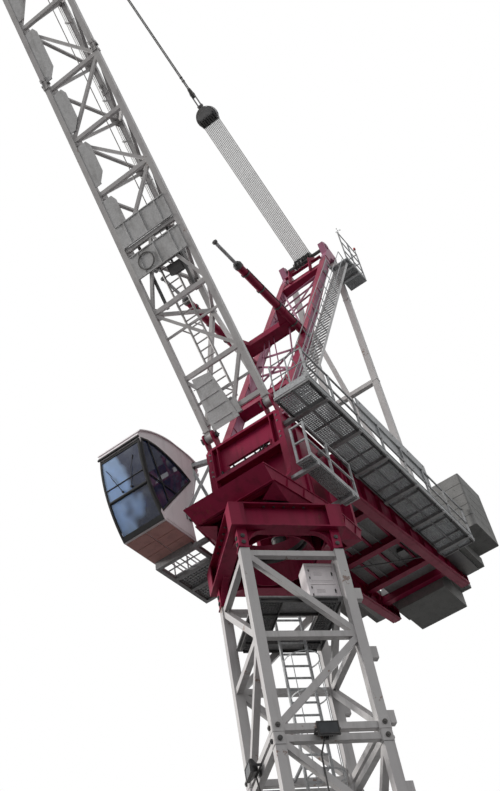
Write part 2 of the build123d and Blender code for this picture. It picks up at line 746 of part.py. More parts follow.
# Cross beams between the legs, with curved corner gussets, and between the backstop arms
leg_foot = Vector(leg_foot_x + 80, 0, leg_foot_z)
leg_way = (Vector(leg_head_x, 0, leg_head_z) - leg_foot).normalized()
leg_face = Plane(origin=leg_foot, x_dir=(0, 1, 0), z_dir=Vector(0, 1, 0).cross(leg_way))
inner = 2 * leg_y - leg_depth
low_beam = 1632
low_beam_depth = 240
head_beam = 7853
corner_reach = 320
corner_rise = 480
arm_level = mast_top + 5470
arm_beam_front = -1190
arm_beam_rear = -1400
with BuildPart() as a_frame_beams:
    with BuildSketch(leg_face.offset(-75)):
        with Locations((0, low_beam)):
            Rectangle(inner, low_beam_depth)
        with Locations((0, head_beam)):
            Rectangle(inner, 260)
        corner = low_beam + low_beam_depth / 2
        for side in (-1, 1):
            with BuildLine():
                Polyline(
                    (side * (inner / 2 - corner_reach), corner),
                    (side * inner / 2, corner),
                    (side * inner / 2, corner + corner_rise),
                )
                ThreePointArc(
                    (side * inner / 2, corner + corner_rise),
                    (side * (inner / 2 - 0.345 * corner_reach), corner + 0.355 * corner_rise),
                    (side * (inner / 2 - corner_reach), corner),
                )
            make_face()
    extrude(amount=150)
    with BuildSketch(Plane.XY.offset(arm_level - 45)):
        with Locations(((arm_beam_front + arm_beam_rear) / 2, 0)):
            Rectangle(arm_beam_front - arm_beam_rear, 2 * leg_y - 90)
        for side in (-1, 1):
            with BuildLine():
                Polyline(
                    (arm_beam_front, side * 290),
                    (arm_beam_front, side * (leg_y - 45)),
                    (arm_beam_front + 360, side * (leg_y - 45)),
                    close=True,
                )
            make_face()
    extrude(amount=90)
    with Locations((-4190, 0, mast_top + 10050)):
        Box(140, inner, 110)
save(a_frame_beams.part, "a_frame_beams")

# Backstop cylinders held out from the legs, each with a rod in its end
with BuildPart() as backstop_arms:
    for side in (-1, 1):
        with Locations(Location((-720, side * leg_y, arm_level), (0, 90, 0))):
            Cylinder(leg_depth / 2, 1830)
            with Locations((0, 0, 890), (0, 0, -300)):
                Cylinder(leg_depth / 2 + 9, 50)
    add(a_frame_legs.part, mode=Mode.SUBTRACT)
    add(a_frame_beams.part, mode=Mode.SUBTRACT)
save(backstop_arms.part, "backstop_arms")

with BuildPart() as backstop_rods:
    for side in (-1, 1):
        with Locations(Location((195, side * leg_y, arm_level), (0, 90, 0))):
            Cylinder(27, 590, align=(Align.CENTER, Align.CENTER, Align.MIN))
save(backstop_rods.part, "backstop_rods")

# Rear ties with their cross bar and one long diagonal
tie_top = (-4200, mast_top + 10050)
tie_foot = (-4400, girder_top - 60)
with BuildPart() as rear_ties:
    add(
        [
            bar(
                (tie_top[0], side * tie_y, tie_top[1]),
                (tie_foot[0], side * tie_y, tie_foot[1]),
                110,
                110,
                (0, 1, 0),
            )
            for side in (-1, 1)
        ]
    )
    add(
        [
            bar((-4292, -tie_y, mast_top + 6450), (-4292, tie_y, mast_top + 6450), 90, 90),
            bar(
                (-4220, -tie_y, mast_top + 9250),
                (-4392, tie_y, girder_top + 320),
                80,
                80,
                (1, 0, 0),
            ),
        ]
    )
    add(a_frame_legs.part, mode=Mode.SUBTRACT)
    with Locations((-4300, 0, girder_top)):
        Box(1000, 1400, 9000, align=(Align.CENTER, Align.CENTER, Align.MIN), mode=Mode.INTERSECT)
save(rear_ties.part, "rear_ties")

# Fixed rope sheaves on a shaft between the head blocks
with BuildPart() as head_sheaves:
    with Locations(Location((rope_head_x, 0, rope_head_z - 40), (90, 0, 0))):
        Cylinder(36, 2 * leg_y - leg_depth)
        for place in fall_places:
            with Locations((0, 0, place)):
                Cylinder(95, 28)
save(head_sheaves.part, "a_frame_sheaves")

# Head platform and the stair that climbs the outer side of the left leg
head_level = mast_top + 9270
guard_height = 880
platform_front = -3740
platform_rear = -4500
platform_middle = (platform_front + platform_rear) / 2
leg_side = leg_y + leg_depth / 2
with BuildPart() as head_platform:
    with Locations((platform_middle, 755, head_level)):
        Box(platform_front - platform_rear, 380, 24)
    with Locations((-3882, leg_side, head_level - 12)):
        Box(564, 28, 50, align=(Align.CENTER, Align.MIN, Align.MAX))
    with Locations((-3960, leg_side + 28, head_level - 12), (-4189, tie_y + 55, head_level - 12)):
        Box(50, 945 - tie_y - 55, 50, align=(Align.CENTER, Align.MIN, Align.MAX))
    for place in (
        (platform_front - 13, 932),
        (platform_middle, 932),
        (platform_rear + 13, 932),
        (platform_rear + 13, 578),
    ):
        with Locations((*place, head_level + 12)):
            Box(22, 22, guard_height, align=(Align.CENTER, Align.CENTER, Align.MIN))
    for height in (guard_height - 11, guard_height * 0.64, guard_height * 0.3):
        with Locations((platform_middle, 932, head_level + 12 + height)):
            Box(platform_front - platform_rear, 18, 18)
        with Locations((platform_rear + 13, 755, head_level + 12 + height)):
            Box(18, 370, 18)
save(head_platform.part, "head_platform")

stair_foot = (30, walk_level + 30)
stair_head = (-3837, head_level - 12)
stair_inner = 575 + 10
stair_width = 300
string_places = (stair_inner, stair_inner + stair_width)
with BuildPart() as frame_ladder:
    add(
        [
            bar((stair_foot[0], y, stair_foot[1]), (stair_head[0], y, stair_head[1]), 46, 12, (0, 1, 0))
            for y in string_places
        ]
    )
    steps = 44
    rungs = []
    for number in range(1, steps):
        share = number / steps
        x = stair_foot[0] + (stair_head[0] - stair_foot[0]) * share
        z = stair_foot[1] + (stair_head[1] - stair_foot[1]) * share
        rungs.append((x, sum(string_places) / 2, z))
    with Locations(rungs):
        Box(74, stair_width, 8)
    with Locations((-4000, 0, head_level - 12)):
        Box(4000, 4000, 400, align=(Align.CENTER, Align.CENTER, Align.MIN), mode=Mode.SUBTRACT)
    with Locations((0, 0, walk_level + 30)):
        Box(4000, 4000, 400, align=(Align.CENTER, Align.CENTER, Align.MAX), mode=Mode.SUBTRACT)
save(frame_ladder.part, "a_frame_ladder")

# Cab side view: a bulging front, an arched roof and a rear wall leaning away from the jib
cab_inner = -798
cab_outer = -1431
cab_skin = 30
cab_floor = mast_top + 827
cab_middle = (cab_inner + cab_outer) / 2
room_width = cab_inner - cab_outer - 2 * cab_skin
with BuildSketch(Plane.XZ) as cab_outline:
    with BuildLine():
        ThreePointArc(
            (1017, cab_floor), (1264, cab_floor + 457), (1364, cab_floor + 1095)
        )
        Polyline(
            (1364, cab_floor + 1095),
            (1402, cab_floor + 1124),
            (1349, cab_floor + 1228),
        )
        ThreePointArc(
            (1349, cab_floor + 1228), (868, cab_floor + 1444), (177, cab_floor + 1440)
        )
        Polyline(
            (177, cab_floor + 1440),
            (127, cab_floor + 1369),
            (212, cab_floor + 1136),
            (313, cab_floor + 813),
            (464, cab_floor + 537),
            (402, cab_floor),
            (1017, cab_floor),
        )
    make_face()
with BuildSketch(Plane.XZ) as window_outline:
    with BuildLine():
        Polyline(
            (1034, cab_floor + 128),
            (868, cab_floor + 356),
            (358, cab_floor + 1025),
        )
        Spline(
            (358, cab_floor + 1025),
            (745, cab_floor + 1160),
            (1041, cab_floor + 1190),
            (1322, cab_floor + 1125),
        )
        Spline(
            (1322, cab_floor + 1125),
            (1302, cab_floor + 828),
            (1236, cab_floor + 467),
            (1034, cab_floor + 128),
        )
    make_face()

# Cab shell: hollow, open at the front and both side windows, under a thin roof plate
with BuildPart() as cab_shell:
    with BuildSketch(Plane.XZ.offset(-cab_inner)):
        add(cab_outline.sketch_local)
    extrude(amount=cab_inner - cab_outer)
    with BuildSketch(Plane.XZ.offset(-cab_inner + cab_skin)):
        offset(cab_outline.sketch_local, amount=-cab_skin, kind=Kind.INTERSECTION)
    extrude(amount=room_width, mode=Mode.SUBTRACT)
    with BuildSketch(Plane.XZ.offset(-cab_inner - 10)):
        add(window_outline.sketch_local)
    extrude(amount=cab_inner - cab_outer + 20, mode=Mode.SUBTRACT)
    with BuildSketch(Plane.XZ.offset(-cab_inner + cab_skin)):
        with BuildLine():
            Polyline(
                (950, cab_floor + 60),
                (1100, cab_floor + 230),
                (1200, cab_floor + 467),
                (1270, cab_floor + 828),
                (1290, cab_floor + 1060),
                (1500, cab_floor + 1060),
                (1500, cab_floor + 60),
                close=True,
            )
        make_face()
    extrude(amount=room_width, mode=Mode.SUBTRACT)
    with Locations((1258, cab_middle, cab_floor + 455)):
        Box(36, room_width, 24)
    with BuildSketch(Plane.XZ.offset(-cab_inner - 22)):
        offset(cab_outline.sketch_local, amount=14, kind=Kind.INTERSECTION)
        add(cab_outline.sketch_local, mode=Mode.SUBTRACT)
        with Locations((780, cab_floor + 1340)):
            Rectangle(1240, 290, mode=Mode.INTERSECT)
    extrude(amount=cab_inner - cab_outer + 44)
save(cab_shell.part, "cab_shell")

# Glass: two bulging front panes, the upper one standing proud, and one in each side
with BuildPart() as cab_glass:
    for low, high, inset in ((60, 443, 13), (467, 1060, 3)):
        with BuildSketch(Plane.XZ.offset(-cab_inner + cab_skin)):
            offset(cab_outline.sketch_local, amount=-inset, kind=Kind.INTERSECTION)
            offset(
                cab_outline.sketch_local,
                amount=-inset - 8,
                kind=Kind.INTERSECTION,
                mode=Mode.SUBTRACT,
            )
            with Locations((1150, cab_floor + (low + high) / 2)):
                Rectangle(500, high - low, mode=Mode.INTERSECT)
        extrude(amount=room_width)
    for outside in (cab_inner, cab_outer + cab_skin):
        with BuildSketch(Plane.XZ.offset(-outside + 10)):
            add(window_outline.sketch_local)
        extrude(amount=8)
save(cab_glass.part, "cab_glass")

with BuildPart() as cab_seat:
    with Locations((680, cab_middle, cab_floor + cab_skin)):
        Box(180, 180, 120, align=(Align.CENTER, Align.CENTER, Align.MIN))
    with Locations((680, cab_middle, cab_floor + cab_skin + 120)):
        Box(280, 280, 70, align=(Align.CENTER, Align.CENTER, Align.MIN))
    fillet(cab_seat.edges().filter_by(Axis.Z).group_by(SortBy.LENGTH)[0], 30)
    with Locations((575, cab_middle, cab_floor + cab_skin + 160)):
        Box(60, 270, 390, align=(Align.CENTER, Align.CENTER, Align.MIN))
    for side in (-1, 1):
        with Locations((700, cab_middle + side * 175, cab_floor + cab_skin + 120)):
            Box(210, 70, 130, align=(Align.CENTER, Align.CENTER, Align.MIN))
save(cab_seat.part, "cab_seat")

# Platform behind the cab: an open frame with a bearer for the cab floor
platform_top = mast_top + 768
with BuildPart() as cab_platform:
    for place in (-525, -200, 120, 445):
        with Locations((place, -1001, platform_top)):
            Box(50, 802, 60, align=(Align.CENTER, Align.CENTER, Align.MAX))
    for place in (-795, -1377):
        with Locations((-40, place, platform_top)):
            Box(1020, 50, 60, align=(Align.CENTER, Align.CENTER, Align.MAX))
    with Locations((-362, -1086, platform_top), (-40, -1086, platform_top)):
        Box(326, 582, 10, align=(Align.CENTER, Align.CENTER, Align.MAX))
    with Locations((445, cab_middle, platform_top)):
        Box(
            50, 560, cab_floor - platform_top, align=(Align.CENTER, Align.CENTER, Align.MIN)
        )
    add(slewing_deck.part, mode=Mode.SUBTRACT)
save(cab_platform.part, "cab_platform")

# Struts between the turntable and the cab side
with BuildPart() as cab_supports:
    add(
        [
            bar((150, -560, mast_top + 2190), (240, -820, mast_top + 2190), 60, 60),
            bar((150, -560, mast_top + 1150), (520, -820, mast_top + 1150), 60, 60),
            bar((150, -560, mast_top + 2170), (520, -820, mast_top + 1190), 40, 40),
            bar((150, -560, mast_top + 1190), (240, -820, mast_top + 2150), 40, 40),
        ]
    )
    add(turntable.part, mode=Mode.SUBTRACT)
    with Locations((300, (cab_inner - 575) / 2, mast_top + 1650)):
        Box(1000, -cab_inner - 575, 1400, mode=Mode.INTERSECT)
save(cab_supports.part, "cab_supports")

# Hoist winch and guard panels in the jib foot, and the rope guide at the chord end
face_skin = -jib_bar / 2 - 6
with BuildPart(jib_plane) as jib_plates:
    with Locations((3240, 0, -42), (2708, 0, -42)):
        Box(380, jib_gauge - jib_chord, 12)
    with BuildSketch(jib_plane.offset(-42)):
        with BuildLine():
            Polyline((45, -378), (45, 50), (790, -65), (830, -350), close=True)
        make_face()
    extrude(amount=12)
    for first, last in zip(nodes[2:-1], nodes[3:]):
        with Locations(((first + last) / 2, -jib_half + jib_chord / 2, face_skin)):
            Box(last - first - 260, 110, 12, align=(Align.CENTER, Align.MIN, Align.CENTER))
save(jib_plates.part, "jib_plates")

with BuildPart(jib_plane) as hoist_winch:
    with Locations(Location((2790, 0, 200), (90, 0, 0))):
        Cylinder(130, 470)
        with Locations((0, 0, -205), (0, 0, 205)):
            Cylinder(168, 20)
    with Locations((2790, -255, 150), (2790, 255, 150)):
        Box(340, 40, 240)
    with Locations((2500, -255, 45), (2500, 255, 45)):
        Box(1120, 40, 30)
save(hoist_winch.part, "hoist_winch")
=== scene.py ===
"""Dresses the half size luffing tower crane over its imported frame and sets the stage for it."""

import json
import math
from itertools import pairwise, product

import bmesh
import bpy
from bpy.props import FloatProperty, FloatVectorProperty, PointerProperty
from mathutils import Matrix, Vector

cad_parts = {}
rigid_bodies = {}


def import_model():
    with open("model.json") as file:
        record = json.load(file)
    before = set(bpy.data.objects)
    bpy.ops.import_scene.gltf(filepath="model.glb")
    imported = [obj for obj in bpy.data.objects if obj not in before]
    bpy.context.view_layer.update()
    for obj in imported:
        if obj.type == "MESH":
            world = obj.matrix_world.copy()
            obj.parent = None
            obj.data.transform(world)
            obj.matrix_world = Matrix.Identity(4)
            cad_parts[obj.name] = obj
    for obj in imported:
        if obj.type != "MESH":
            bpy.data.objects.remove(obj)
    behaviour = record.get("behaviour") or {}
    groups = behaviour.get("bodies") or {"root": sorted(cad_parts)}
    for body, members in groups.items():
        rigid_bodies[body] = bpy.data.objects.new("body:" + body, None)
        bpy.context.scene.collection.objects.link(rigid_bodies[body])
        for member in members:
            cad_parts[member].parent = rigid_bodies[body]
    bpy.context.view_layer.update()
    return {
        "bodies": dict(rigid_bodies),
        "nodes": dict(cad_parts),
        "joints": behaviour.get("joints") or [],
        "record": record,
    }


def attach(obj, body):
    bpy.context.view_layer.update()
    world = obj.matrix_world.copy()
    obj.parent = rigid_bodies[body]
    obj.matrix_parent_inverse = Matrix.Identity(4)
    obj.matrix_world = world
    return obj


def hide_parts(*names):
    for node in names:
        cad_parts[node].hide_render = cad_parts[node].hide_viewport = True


bl_info = {
    "name": "Luffing Tower Crane",
    "version": (1, 0, 0),
    "blender": (4, 5, 0),
    "location": "View3D > Sidebar > Crane",
    "description": "Finishes and fittings for a half size luffing tower crane",
    "category": "Object",
}

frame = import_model()
nodes = frame["nodes"]

X, Y, Z = (1, 0, 0), (0, 1, 0), (0, 0, 1)
DOWN = (0, 0, -1)
SIDES = (-1, 1)

# Places of the mast, the jib and the stay in the shared frame
MAST = Matrix.Rotation(math.radians(137.8), 4, "Z")
JIB_ANGLE = math.radians(60.6)
JIB_FOOT = Matrix.Translation((0.210, 0, 11.750))
JIB = JIB_FOOT @ Matrix.Rotation(-JIB_ANGLE, 4, "Y")
WORKS = Matrix.Identity(4)
LUG = Vector((7.782482, 0, 27.283087))
ROPE_HEAD_X, ROPE_HEAD_Z = -3.939, 19.516
AXLE_Z = ROPE_HEAD_Z - 0.04
STAY_WAY = (Vector((ROPE_HEAD_X, 0, ROPE_HEAD_Z)) - LUG).normalized()
STAY_UP = Vector((-STAY_WAY.z, 0, STAY_WAY.x))
STAY_AXES = Matrix((STAY_WAY, STAY_UP.cross(STAY_WAY), STAY_UP)).transposed().to_4x4()
STAY = Matrix.Translation(LUG) @ STAY_AXES
PLACES = {
    "mast": MAST,
    "upper_works": WORKS,
    "jib": JIB,
    "stay": STAY,
    "rope_falls": STAY,
    "hook": WORKS,
}

# Sizes of the CAD that the fittings sit on, in metres
GAUGE = 0.55
JOINT_LEVELS = (2.5, 4.75, 7.0)
SECTION_FOOT, SECTION_TALL = 0.25, 2.25
HOOPS = 16
PLATFORM = 8.65
BEAM_BOTTOM, BEAM_TOP = 9.521, 9.858
RING_TOP, DECK_TOP = 9.988, 10.138
CROSS_BOTTOM, WALL_TOP = 11.035, 11.560
SIDE_LEVEL = 10.350
CAB_INNER, CAB_OUTER, CAB_FLOOR = -0.798, -1.431, 10.077
CAB_HALF = (CAB_INNER - CAB_OUTER) / 2
CAB = Matrix.Translation((0, (CAB_INNER + CAB_OUTER) / 2, CAB_FLOOR))
GIRDER_TOP, GIRDER_Y = 11.480, 0.630
GIRDER_FRONT, GIRDER_REAR = -1.0, -4.83
GIRDER_LOW_FRONT, GIRDER_LOW_REAR = 10.905, 11.295
DECK_PLATE = GIRDER_TOP + 0.012
WALK_LEVEL, WALK_FRONT, WALK_REAR = 11.378, 0.532, -4.010
ARM_LEVEL = 14.720
HEAD_LEVEL = 18.520
TIE_HEAD_X, TIE_HEAD_Z = -4.20, 19.30
JIB_HALF, JIB_DEPTH = 0.480, 0.958
JIB_END, JIB_END_T, LUG_S, LUG_T = 17.37, 0.17, 17.25, 1.028
HOIST_S, HOIST_T = 2.79, 0.20
HOOK_X, HOOK_TOP = 8.846, 26.966
STEPS = 44
BLOCK_S, FALLS_MEET, FALLS_END = 10.60, 12.01, 14.02
SHEAVES, SHEAVE_FIRST, SHEAVE_PITCH = 8, -0.175, 0.05


class Wire:
    """A shader socket that takes part in Python expressions."""

    def __init__(self, tree, socket):
        self.tree = tree
        self.socket = socket

    def _pair(self, operation, first, second, clamp=False):
        if self.socket.type == "VECTOR":
            return self.tree.node("ShaderNodeVectorMath", {"operation": operation}, (first, second))
        settings = {"operation": operation, "use_clamp": clamp}
        return self.tree.node("ShaderNodeMath", settings, (first, second))

    def __add__(self, other):
        return self._pair("ADD", self, other)

    __radd__ = __add__

    def __sub__(self, other):
        return self._pair("SUBTRACT", self, other)

    def __rsub__(self, other):
        return self._pair("SUBTRACT", other, self)

    def __mul__(self, other):
        return self._pair("MULTIPLY", self, other)

    def __truediv__(self, other):
        return self._pair("DIVIDE", self, other)

    def clamped(self):
        """The same value held between 0 and 1."""
        return self._pair("ADD", self, 0.0, clamp=True)

    def ramp(self, low, high):
        """0 below low, 1 above high and straight between them."""
        return ((self - low) / (high - low)).clamped()


class Tree:
    """A node tree that is built from values and wires."""

    def __init__(self, tree):
        self.tree = tree

    def node(self, kind, settings, inputs, output=0):
        """Adds a node: its settings first, then the values or wires of its sockets."""
        made = self.tree.nodes.new(kind)
        for name, value in settings.items():
            if name == "stops":
                for element, (position, colour) in zip(made.color_ramp.elements, value):
                    element.position = position
                    element.color = (*colour, 1.0)
            else:
                setattr(made, name, value)
        pairs = inputs.items() if isinstance(inputs, dict) else enumerate(inputs)
        for name, value in pairs:
            self.feed(made.inputs[name], value)
        return Wire(self, made.outputs[output])

    def feed(self, socket, value):
        """Links a wire to a socket or sets its value."""
        if isinstance(value, Wire):
            self.tree.links.new(value.socket, socket)
        elif hasattr(value, "__len__") and socket.type == "RGBA" and len(value) == 3:
            socket.default_value = (*value, 1.0)
        else:
            socket.default_value = value

    def seen(self):
        """1 for rays that carry a picture: the camera's, reflected ones and those in glass."""
        seen = 0.0
        for kind in ("Is Camera Ray", "Is Glossy Ray", "Is Transmission Ray"):
            ray = self.node("ShaderNodeLightPath", {}, (), output=kind)
            seen = self.node("ShaderNodeMath", {"operation": "MAXIMUM"}, (ray, seen))
        return seen


class Finish(Tree):
    """One material, built around its Principled shader."""

    def __init__(self, name):
        self.material = bpy.data.materials.new(name)
        self.material.use_nodes = True
        super().__init__(self.material.node_tree)
        self.surface = self.tree.nodes["Principled BSDF"]
        self.place = self.node("ShaderNodeTexCoord", {}, (), output="Object")

    def mix(self, share, first, second):
        """A colour between two colours."""
        made = self.tree.nodes.new("ShaderNodeMix")
        made.data_type = "RGBA"
        for index, value in ((0, share), (6, first), (7, second)):
            self.feed(made.inputs[index], value)
        return Wire(self, made.outputs[2])

    def cloud(self, scale, detail=4.0, roughness=0.55, at=None):
        """Soft noise from 0 to 1."""
        values = {"Scale": scale, "Detail": detail, "Roughness": roughness}
        return self.node("ShaderNodeTexNoise", {}, {"Vector": at or self.place, **values})

    def runs(self, across, down, detail=5.0):
        """Noise drawn out downwards, for what water leaves on a wall."""
        return self.cloud(1.0, detail, 0.6, at=self.place * Vector((across, across, down)))

    def dress(self, bump, strength, distance=0.002, **values):
        """Feeds the shader's sockets, where _ stands for a space, and a height to its normal."""
        for name, value in values.items():
            self.feed(self.surface.inputs[name.replace("_", " ")], value)
        inputs = {"Height": bump, "Strength": strength, "Distance": distance}
        self.feed(self.surface.inputs["Normal"], self.node("ShaderNodeBump", {}, inputs))
        return self.material


def painted(name, colour, worn, dirt, gloss=0.42, streaks=0.5, rust=0.12, sheen=0.5):
    """Paint on steel: chalked patches, dirt that runs down, chips and rust bloom."""
    finish = Finish(name)
    patches = finish.cloud(1.3, 5.0)
    runs = finish.runs(9.0, 0.7, 6.0)
    specks = finish.cloud(38.0, 3.0)
    chips = (finish.cloud(13.0, 6.0, 0.7) * finish.cloud(2.1, 2.0)).ramp(0.375, 0.395)
    chalk = finish.mix(patches.ramp(0.35, 0.75), colour, worn)
    grime = (runs.ramp(0.50, 0.78) * streaks + specks.ramp(0.55, 0.9) * 0.18).clamped()
    dusty = finish.mix(grime, chalk, dirt)
    bloom = finish.mix(specks.ramp(0.3, 0.7), (0.20, 0.075, 0.03), (0.11, 0.05, 0.03))
    return finish.dress(
        specks * 0.3 + chips * -0.7 + patches * 0.4, 0.25, 0.003,
        Base_Color=finish.mix(chips * rust * 6.0, dusty, bloom),
        Roughness=(patches * 0.25 + grime * 0.2 + gloss - 0.1).clamped(),
        Specular_IOR_Level=sheen,
    )


def galvanised(name, light=(0.44, 0.45, 0.46), dark=(0.24, 0.25, 0.26), metallic=0.35):
    """Dull zinc with its spangle, dust and water marks."""
    finish = Finish(name)
    cells = {"Vector": finish.place, "Scale": 55.0}
    spangle = finish.node("ShaderNodeTexVoronoi", {}, cells, output="Color")
    grey = finish.node("ShaderNodeSeparateColor", {}, {"Color": spangle})
    marks = finish.cloud(2.2, 5.0)
    zinc = finish.mix((grey * 0.35 + marks * 0.65).ramp(0.25, 0.75), dark, light)
    wet = finish.runs(7.0, 0.9).ramp(0.5, 0.8) * 0.6
    return finish.dress(
        grey * 0.2 + marks, 0.15,
        Base_Color=finish.mix(wet, zinc, (0.11, 0.10, 0.09)),
        Metallic=metallic,
        Roughness=(0.5 + marks * 0.25).clamped(),
    )


def concrete(name):
    """Cast concrete: cement skin, aggregate specks, tide marks, and pin holes painted dark as
    painted shade.
    """
    finish = Finish(name)
    broad = finish.cloud(1.6, 6.0, 0.6)
    grain = finish.cloud(60.0, 3.0)
    holes = finish.cloud(26.0, 2.0).ramp(0.68, 0.72)
    skin = finish.mix(broad.ramp(0.3, 0.7), (0.15, 0.15, 0.147), (0.25, 0.25, 0.247))
    damp = finish.runs(6.0, 0.8).ramp(0.5, 0.75) * 0.6
    wet = finish.mix(damp, skin, (0.09, 0.088, 0.085))
    specked = finish.mix(grain.ramp(0.35, 0.8) * 0.4, wet, (0.42, 0.42, 0.41))
    return finish.dress(
        grain * 0.5 + broad - holes, 0.5, 0.006,
        # Painted shade: the pin holes are darkened almost to black.
        Base_Color=finish.mix(holes * 0.6, specked, (0.06, 0.06, 0.06)),
        Roughness=(0.82 + grain * 0.12).clamped(),
    )


def greased(name):
    """Dark steel with grease, dust and rubbed high spots."""
    finish = Finish(name)
    smear = finish.cloud(4.0, 5.0)
    grit = finish.cloud(45.0, 3.0)
    rubbed = (smear * 0.7 + grit * 0.3).ramp(0.4, 0.7)
    return finish.dress(
        grit + smear, 0.25,
        Base_Color=finish.mix(rubbed, (0.035, 0.035, 0.038), (0.10, 0.095, 0.09)),
        Metallic=0.6,
        Roughness=(0.3 + smear * 0.4).clamped(),
    )


def laid_rope(name, colour=(0.22, 0.215, 0.21), grease=(0.05, 0.048, 0.045)):
    """Wire rope: bright worn crowns over greasy strands."""
    finish = Finish(name)
    bands = {"wave_type": "BANDS", "bands_direction": "DIAGONAL"}
    values = {"Vector": finish.place, "Scale": 70.0, "Distortion": 0.4, "Detail": 1.0}
    lay = finish.node("ShaderNodeTexWave", bands, values)
    dirt = finish.cloud(6.0, 4.0)
    height = finish.node("ShaderNodeSeparateColor", {}, {"Color": lay})
    return finish.dress(
        height, 0.2,
        Base_Color=finish.mix(height * 0.35 + dirt * 0.35 + 0.2, grease, colour),
        Metallic=0.55,
        Roughness=(0.4 + dirt * 0.25).clamped(),
    )


def glass_with_painted_sky(name):
    """Cab glass: dark blue tint, painted reflection of the sky low on the outer side, and dust."""
    finish = Finish(name)
    # Painted reflection: this noise lays pale sky blue patches into the glass colour.
    sky = finish.cloud(2.1, 2.0, 0.4, at=finish.place + Vector((0.35, 0.0, 0.2)))
    dust = finish.cloud(7.0, 5.0)
    film = finish.cloud(30.0, 2.0)
    across, upwards = (
        finish.node("ShaderNodeSeparateXYZ", {}, (finish.place,), output=axis) for axis in "YZ"
    )
    # Moves the painted sky reflection towards the cab's outer side and its lower part.
    reach = (-1.11 - across) * 0.8 - (upwards - 10.60) * 0.16
    tint = finish.mix((sky + reach).ramp(0.45, 0.56), (0.055, 0.072, 0.15), (0.46, 0.64, 0.92))
    return finish.dress(
        film, 0.01, 0.001,
        Base_Color=finish.mix(dust.ramp(0.5, 0.85) * 0.35, tint, (0.45, 0.50, 0.55)),
        Roughness=(0.03 + dust.ramp(0.5, 0.9) * 0.12).clamped(),
        Transmission_Weight=0.55,
        IOR=1.45,
        Specular_IOR_Level=0.5,
    )


def moulded(name, colour, other, roughness=0.6):
    """Moulded plastic or rubber with a fine grain and scuffs."""
    finish = Finish(name)
    grain = finish.cloud(90.0, 2.0)
    scuffs = finish.cloud(5.0, 5.0)
    return finish.dress(
        grain + scuffs, 0.3, 0.001,
        Base_Color=finish.mix(scuffs.ramp(0.4, 0.75), colour, other),
        Roughness=(roughness + scuffs * 0.2 - 0.1).clamped(),
        Specular_IOR_Level=0.2,
    )


def lamp_lens(name):
    """A clear ribbed lamp glass over its reflector."""
    finish = Finish(name)
    ribs = finish.cloud(70.0, 1.0)
    return finish.dress(
        ribs, 0.4,
        Base_Color=finish.mix(ribs.ramp(0.3, 0.7), (0.75, 0.76, 0.74), (0.95, 0.94, 0.88)),
        Metallic=0.2,
        Roughness=(0.08 + ribs * 0.1).clamped(),
    )


def arc(first, middle, last, count):
    """Points on the round arc through three points."""
    a, b, c = Vector(first), Vector(middle), Vector(last)
    u, v = b - a, c - a
    normal = u.cross(v)
    to_centre = v.length_squared * normal.cross(u) + u.length_squared * v.cross(normal)
    centre = a + to_centre / (2 * normal.length_squared)
    start = a - centre
    sweep = start.angle(b - centre) + (b - centre).angle(c - centre)
    turns = (Matrix.Rotation(sweep * i / (count - 1), 3, normal.normalized()) for i in range(count))
    return [centre + turn @ start for turn in turns]


def compass(count, first=0.0, step=None):
    """Cosine and sine of angles in turn, all round unless a step in degrees is given."""
    step = 2 * math.pi / count if step is None else math.radians(step)
    angles = (math.radians(first) + step * k for k in range(count))
    return [(math.cos(a), math.sin(a)) for a in angles]


def circle(centre, axis, radius, count):
    """Points round a circle about an axis."""
    side = Vector(axis).orthogonal().normalized()
    other = Vector(axis).normalized().cross(side)
    return [Vector(centre) + side * c * radius + other * s * radius for c, s in compass(count)]


def both_ways(half):
    """A profile that is the same on both sides of its middle."""
    return [(radius, -along) for radius, along in half] + half[::-1]


def fins(start, step, count, *corners):
    """The ribbed part of a motor's profile: the same corners over and over along it."""
    return [(radius, start + step * k + along) for k in range(count) for radius, along in corners]


def quarters():
    """The four quarter turns about the mast."""
    return [Matrix.Rotation(math.radians(90 * k), 4, "Z") for k in range(4)]


